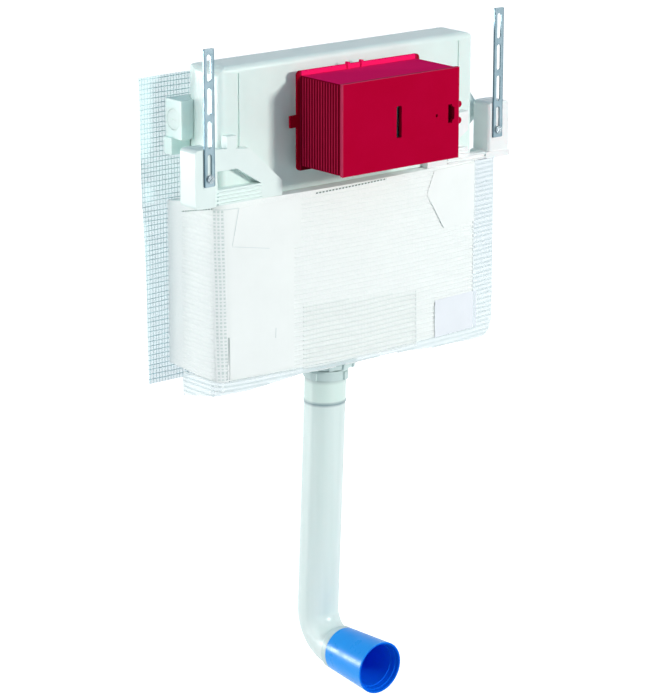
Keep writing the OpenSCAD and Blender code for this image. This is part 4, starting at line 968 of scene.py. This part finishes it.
# Camera
level = math.cos(CAMERA_RISE)
view = Vector((-math.sin(CAMERA_AZIMUTH) * level, math.cos(CAMERA_AZIMUTH) * level, -math.sin(CAMERA_RISE)))
camera_data = bpy.data.cameras.new("camera")
camera_data.sensor_fit = "HORIZONTAL"
camera_data.sensor_width = SENSOR
camera_data.lens = SENSOR * FOCAL_PIXELS / IMAGE_WIDTH
camera_data.clip_end = CAMERA_REACH
camera = bpy.data.objects.new("camera", camera_data)
camera.location = CAMERA_TARGET - view * CAMERA_DISTANCE
camera.rotation_euler = view.to_track_quat("-Z", "Y").to_euler()
scene.collection.objects.link(camera)
scene.camera = camera

# Studio


def lamp(name, direction, size, level, colour):
    """A square soft lamp that lights a surface facing it to a given level, where 1 renders white as white."""
    data = bpy.data.lights.new(name, "AREA")
    data.size = size
    data.energy = level * math.pi ** 2 * LIGHT_DISTANCE ** 2
    data.color = colour
    made = bpy.data.objects.new(name, data)
    toward = Vector(direction).normalized()
    made.location = CAMERA_TARGET + toward * LIGHT_DISTANCE
    made.rotation_euler = toward.to_track_quat("Z", "Y").to_euler()
    made.visible_camera = False
    scene.collection.objects.link(made)
    return made


lamp("key", (0.31, -1.0, 0.36), 0.45, 0.645, (1.0, 0.985, 0.945))
lamp("left_fill", (-1.0, 0.20, 0.2), 2.2, 0.40, (1.0, 0.985, 0.95))
lamp("left_rim", (-0.70, 0.70, 0.05), 1.0, 0.26, (1.0, 0.99, 0.96))
GLEAMS = {
    "pipe_gleam": ((-0.80, 0.52, -0.268), 0.7, 0.16),
    "pipe_streak": ((0.145, -0.954, -0.268), 0.7, 0.10),
    "cap_gleam": ((-0.60, 0.79, 0.0), 0.6, 0.55),
}
for name, (direction, size, level) in GLEAMS.items():
    gleam = lamp(name, direction, size, level, (1.0, 1.0, 1.0))
    gleam.visible_diffuse = False


def seen_directly(tree):
    """One where a camera, mirror or glass ray meets the surface, and none for light."""
    path = tree.nodes.new("ShaderNodeLightPath")
    first = tree.nodes.new("ShaderNodeMath")
    first.operation = "MAXIMUM"
    second = tree.nodes.new("ShaderNodeMath")
    second.operation = "MAXIMUM"
    tree.links.new(path.outputs["Is Camera Ray"], first.inputs[0])
    tree.links.new(path.outputs["Is Glossy Ray"], first.inputs[1])
    tree.links.new(first.outputs["Value"], second.inputs[0])
    tree.links.new(path.outputs["Is Transmission Ray"], second.inputs[1])
    return second.outputs["Value"]


def make_world():
    """White where it is seen; soft light that turns a little blue and weaker overhead."""
    world = bpy.data.worlds.new("studio")
    scene.world = world
    world.use_nodes = True
    tree = world.node_tree
    tree.nodes.clear()
    place = tree.nodes.new("ShaderNodeTexCoord")
    split = tree.nodes.new("ShaderNodeSeparateXYZ")
    ramp = tree.nodes.new("ShaderNodeValToRGB")
    ramp.color_ramp.elements[0].position = 0.1
    ramp.color_ramp.elements[0].color = HORIZON
    ramp.color_ramp.elements[1].position = 0.8
    ramp.color_ramp.elements[1].color = ZENITH
    light = tree.nodes.new("ShaderNodeBackground")
    white = tree.nodes.new("ShaderNodeBackground")
    white.inputs["Color"].default_value = (1, 1, 1, 1)
    mix = tree.nodes.new("ShaderNodeMixShader")
    out = tree.nodes.new("ShaderNodeOutputWorld")
    tree.links.new(place.outputs["Generated"], split.inputs["Vector"])
    tree.links.new(split.outputs["Z"], ramp.inputs["Fac"])
    tree.links.new(ramp.outputs["Color"], light.inputs["Color"])
    tree.links.new(seen_directly(tree), mix.inputs["Fac"])
    tree.links.new(light.outputs["Background"], mix.inputs[1])
    tree.links.new(white.outputs["Background"], mix.inputs[2])
    tree.links.new(mix.outputs["Shader"], out.inputs["Surface"])


def make_floor():
    """A pale matt floor well below the pipe: it takes the shadow and is otherwise seen as white."""
    material = bpy.data.materials.new("floor")
    material.use_nodes = True
    tree = material.node_tree
    tree.nodes.clear()
    matt = tree.nodes.new("ShaderNodeBsdfDiffuse")
    matt.inputs["Color"].default_value = (FLOOR_GREY, FLOOR_GREY, FLOOR_GREY, 1)
    glow = tree.nodes.new("ShaderNodeEmission")
    add = tree.nodes.new("ShaderNodeAddShader")
    out = tree.nodes.new("ShaderNodeOutputMaterial")
    tree.links.new(seen_directly(tree), glow.inputs["Strength"])
    tree.links.new(matt.outputs["BSDF"], add.inputs[0])
    tree.links.new(glow.outputs["Emission"], add.inputs[1])
    tree.links.new(add.outputs["Shader"], out.inputs["Surface"])
    form = bmesh.new()
    corners = ((-1, -1), (1, -1), (1, 1), (-1, 1))
    form.faces.new([form.verts.new((x * FLOOR_HALF, y * FLOOR_HALF, FLOOR_Z)) for x, y in corners])
    mesh = bpy.data.meshes.new("floor")
    form.to_mesh(mesh)
    form.free()
    mesh.materials.append(material)
    floor = bpy.data.objects.new("floor", mesh)
    scene.collection.objects.link(floor)


make_world()
make_floor()
scene.view_settings.view_transform = "Standard"

# Bring the scene up to date
bpy.context.view_layer.update()
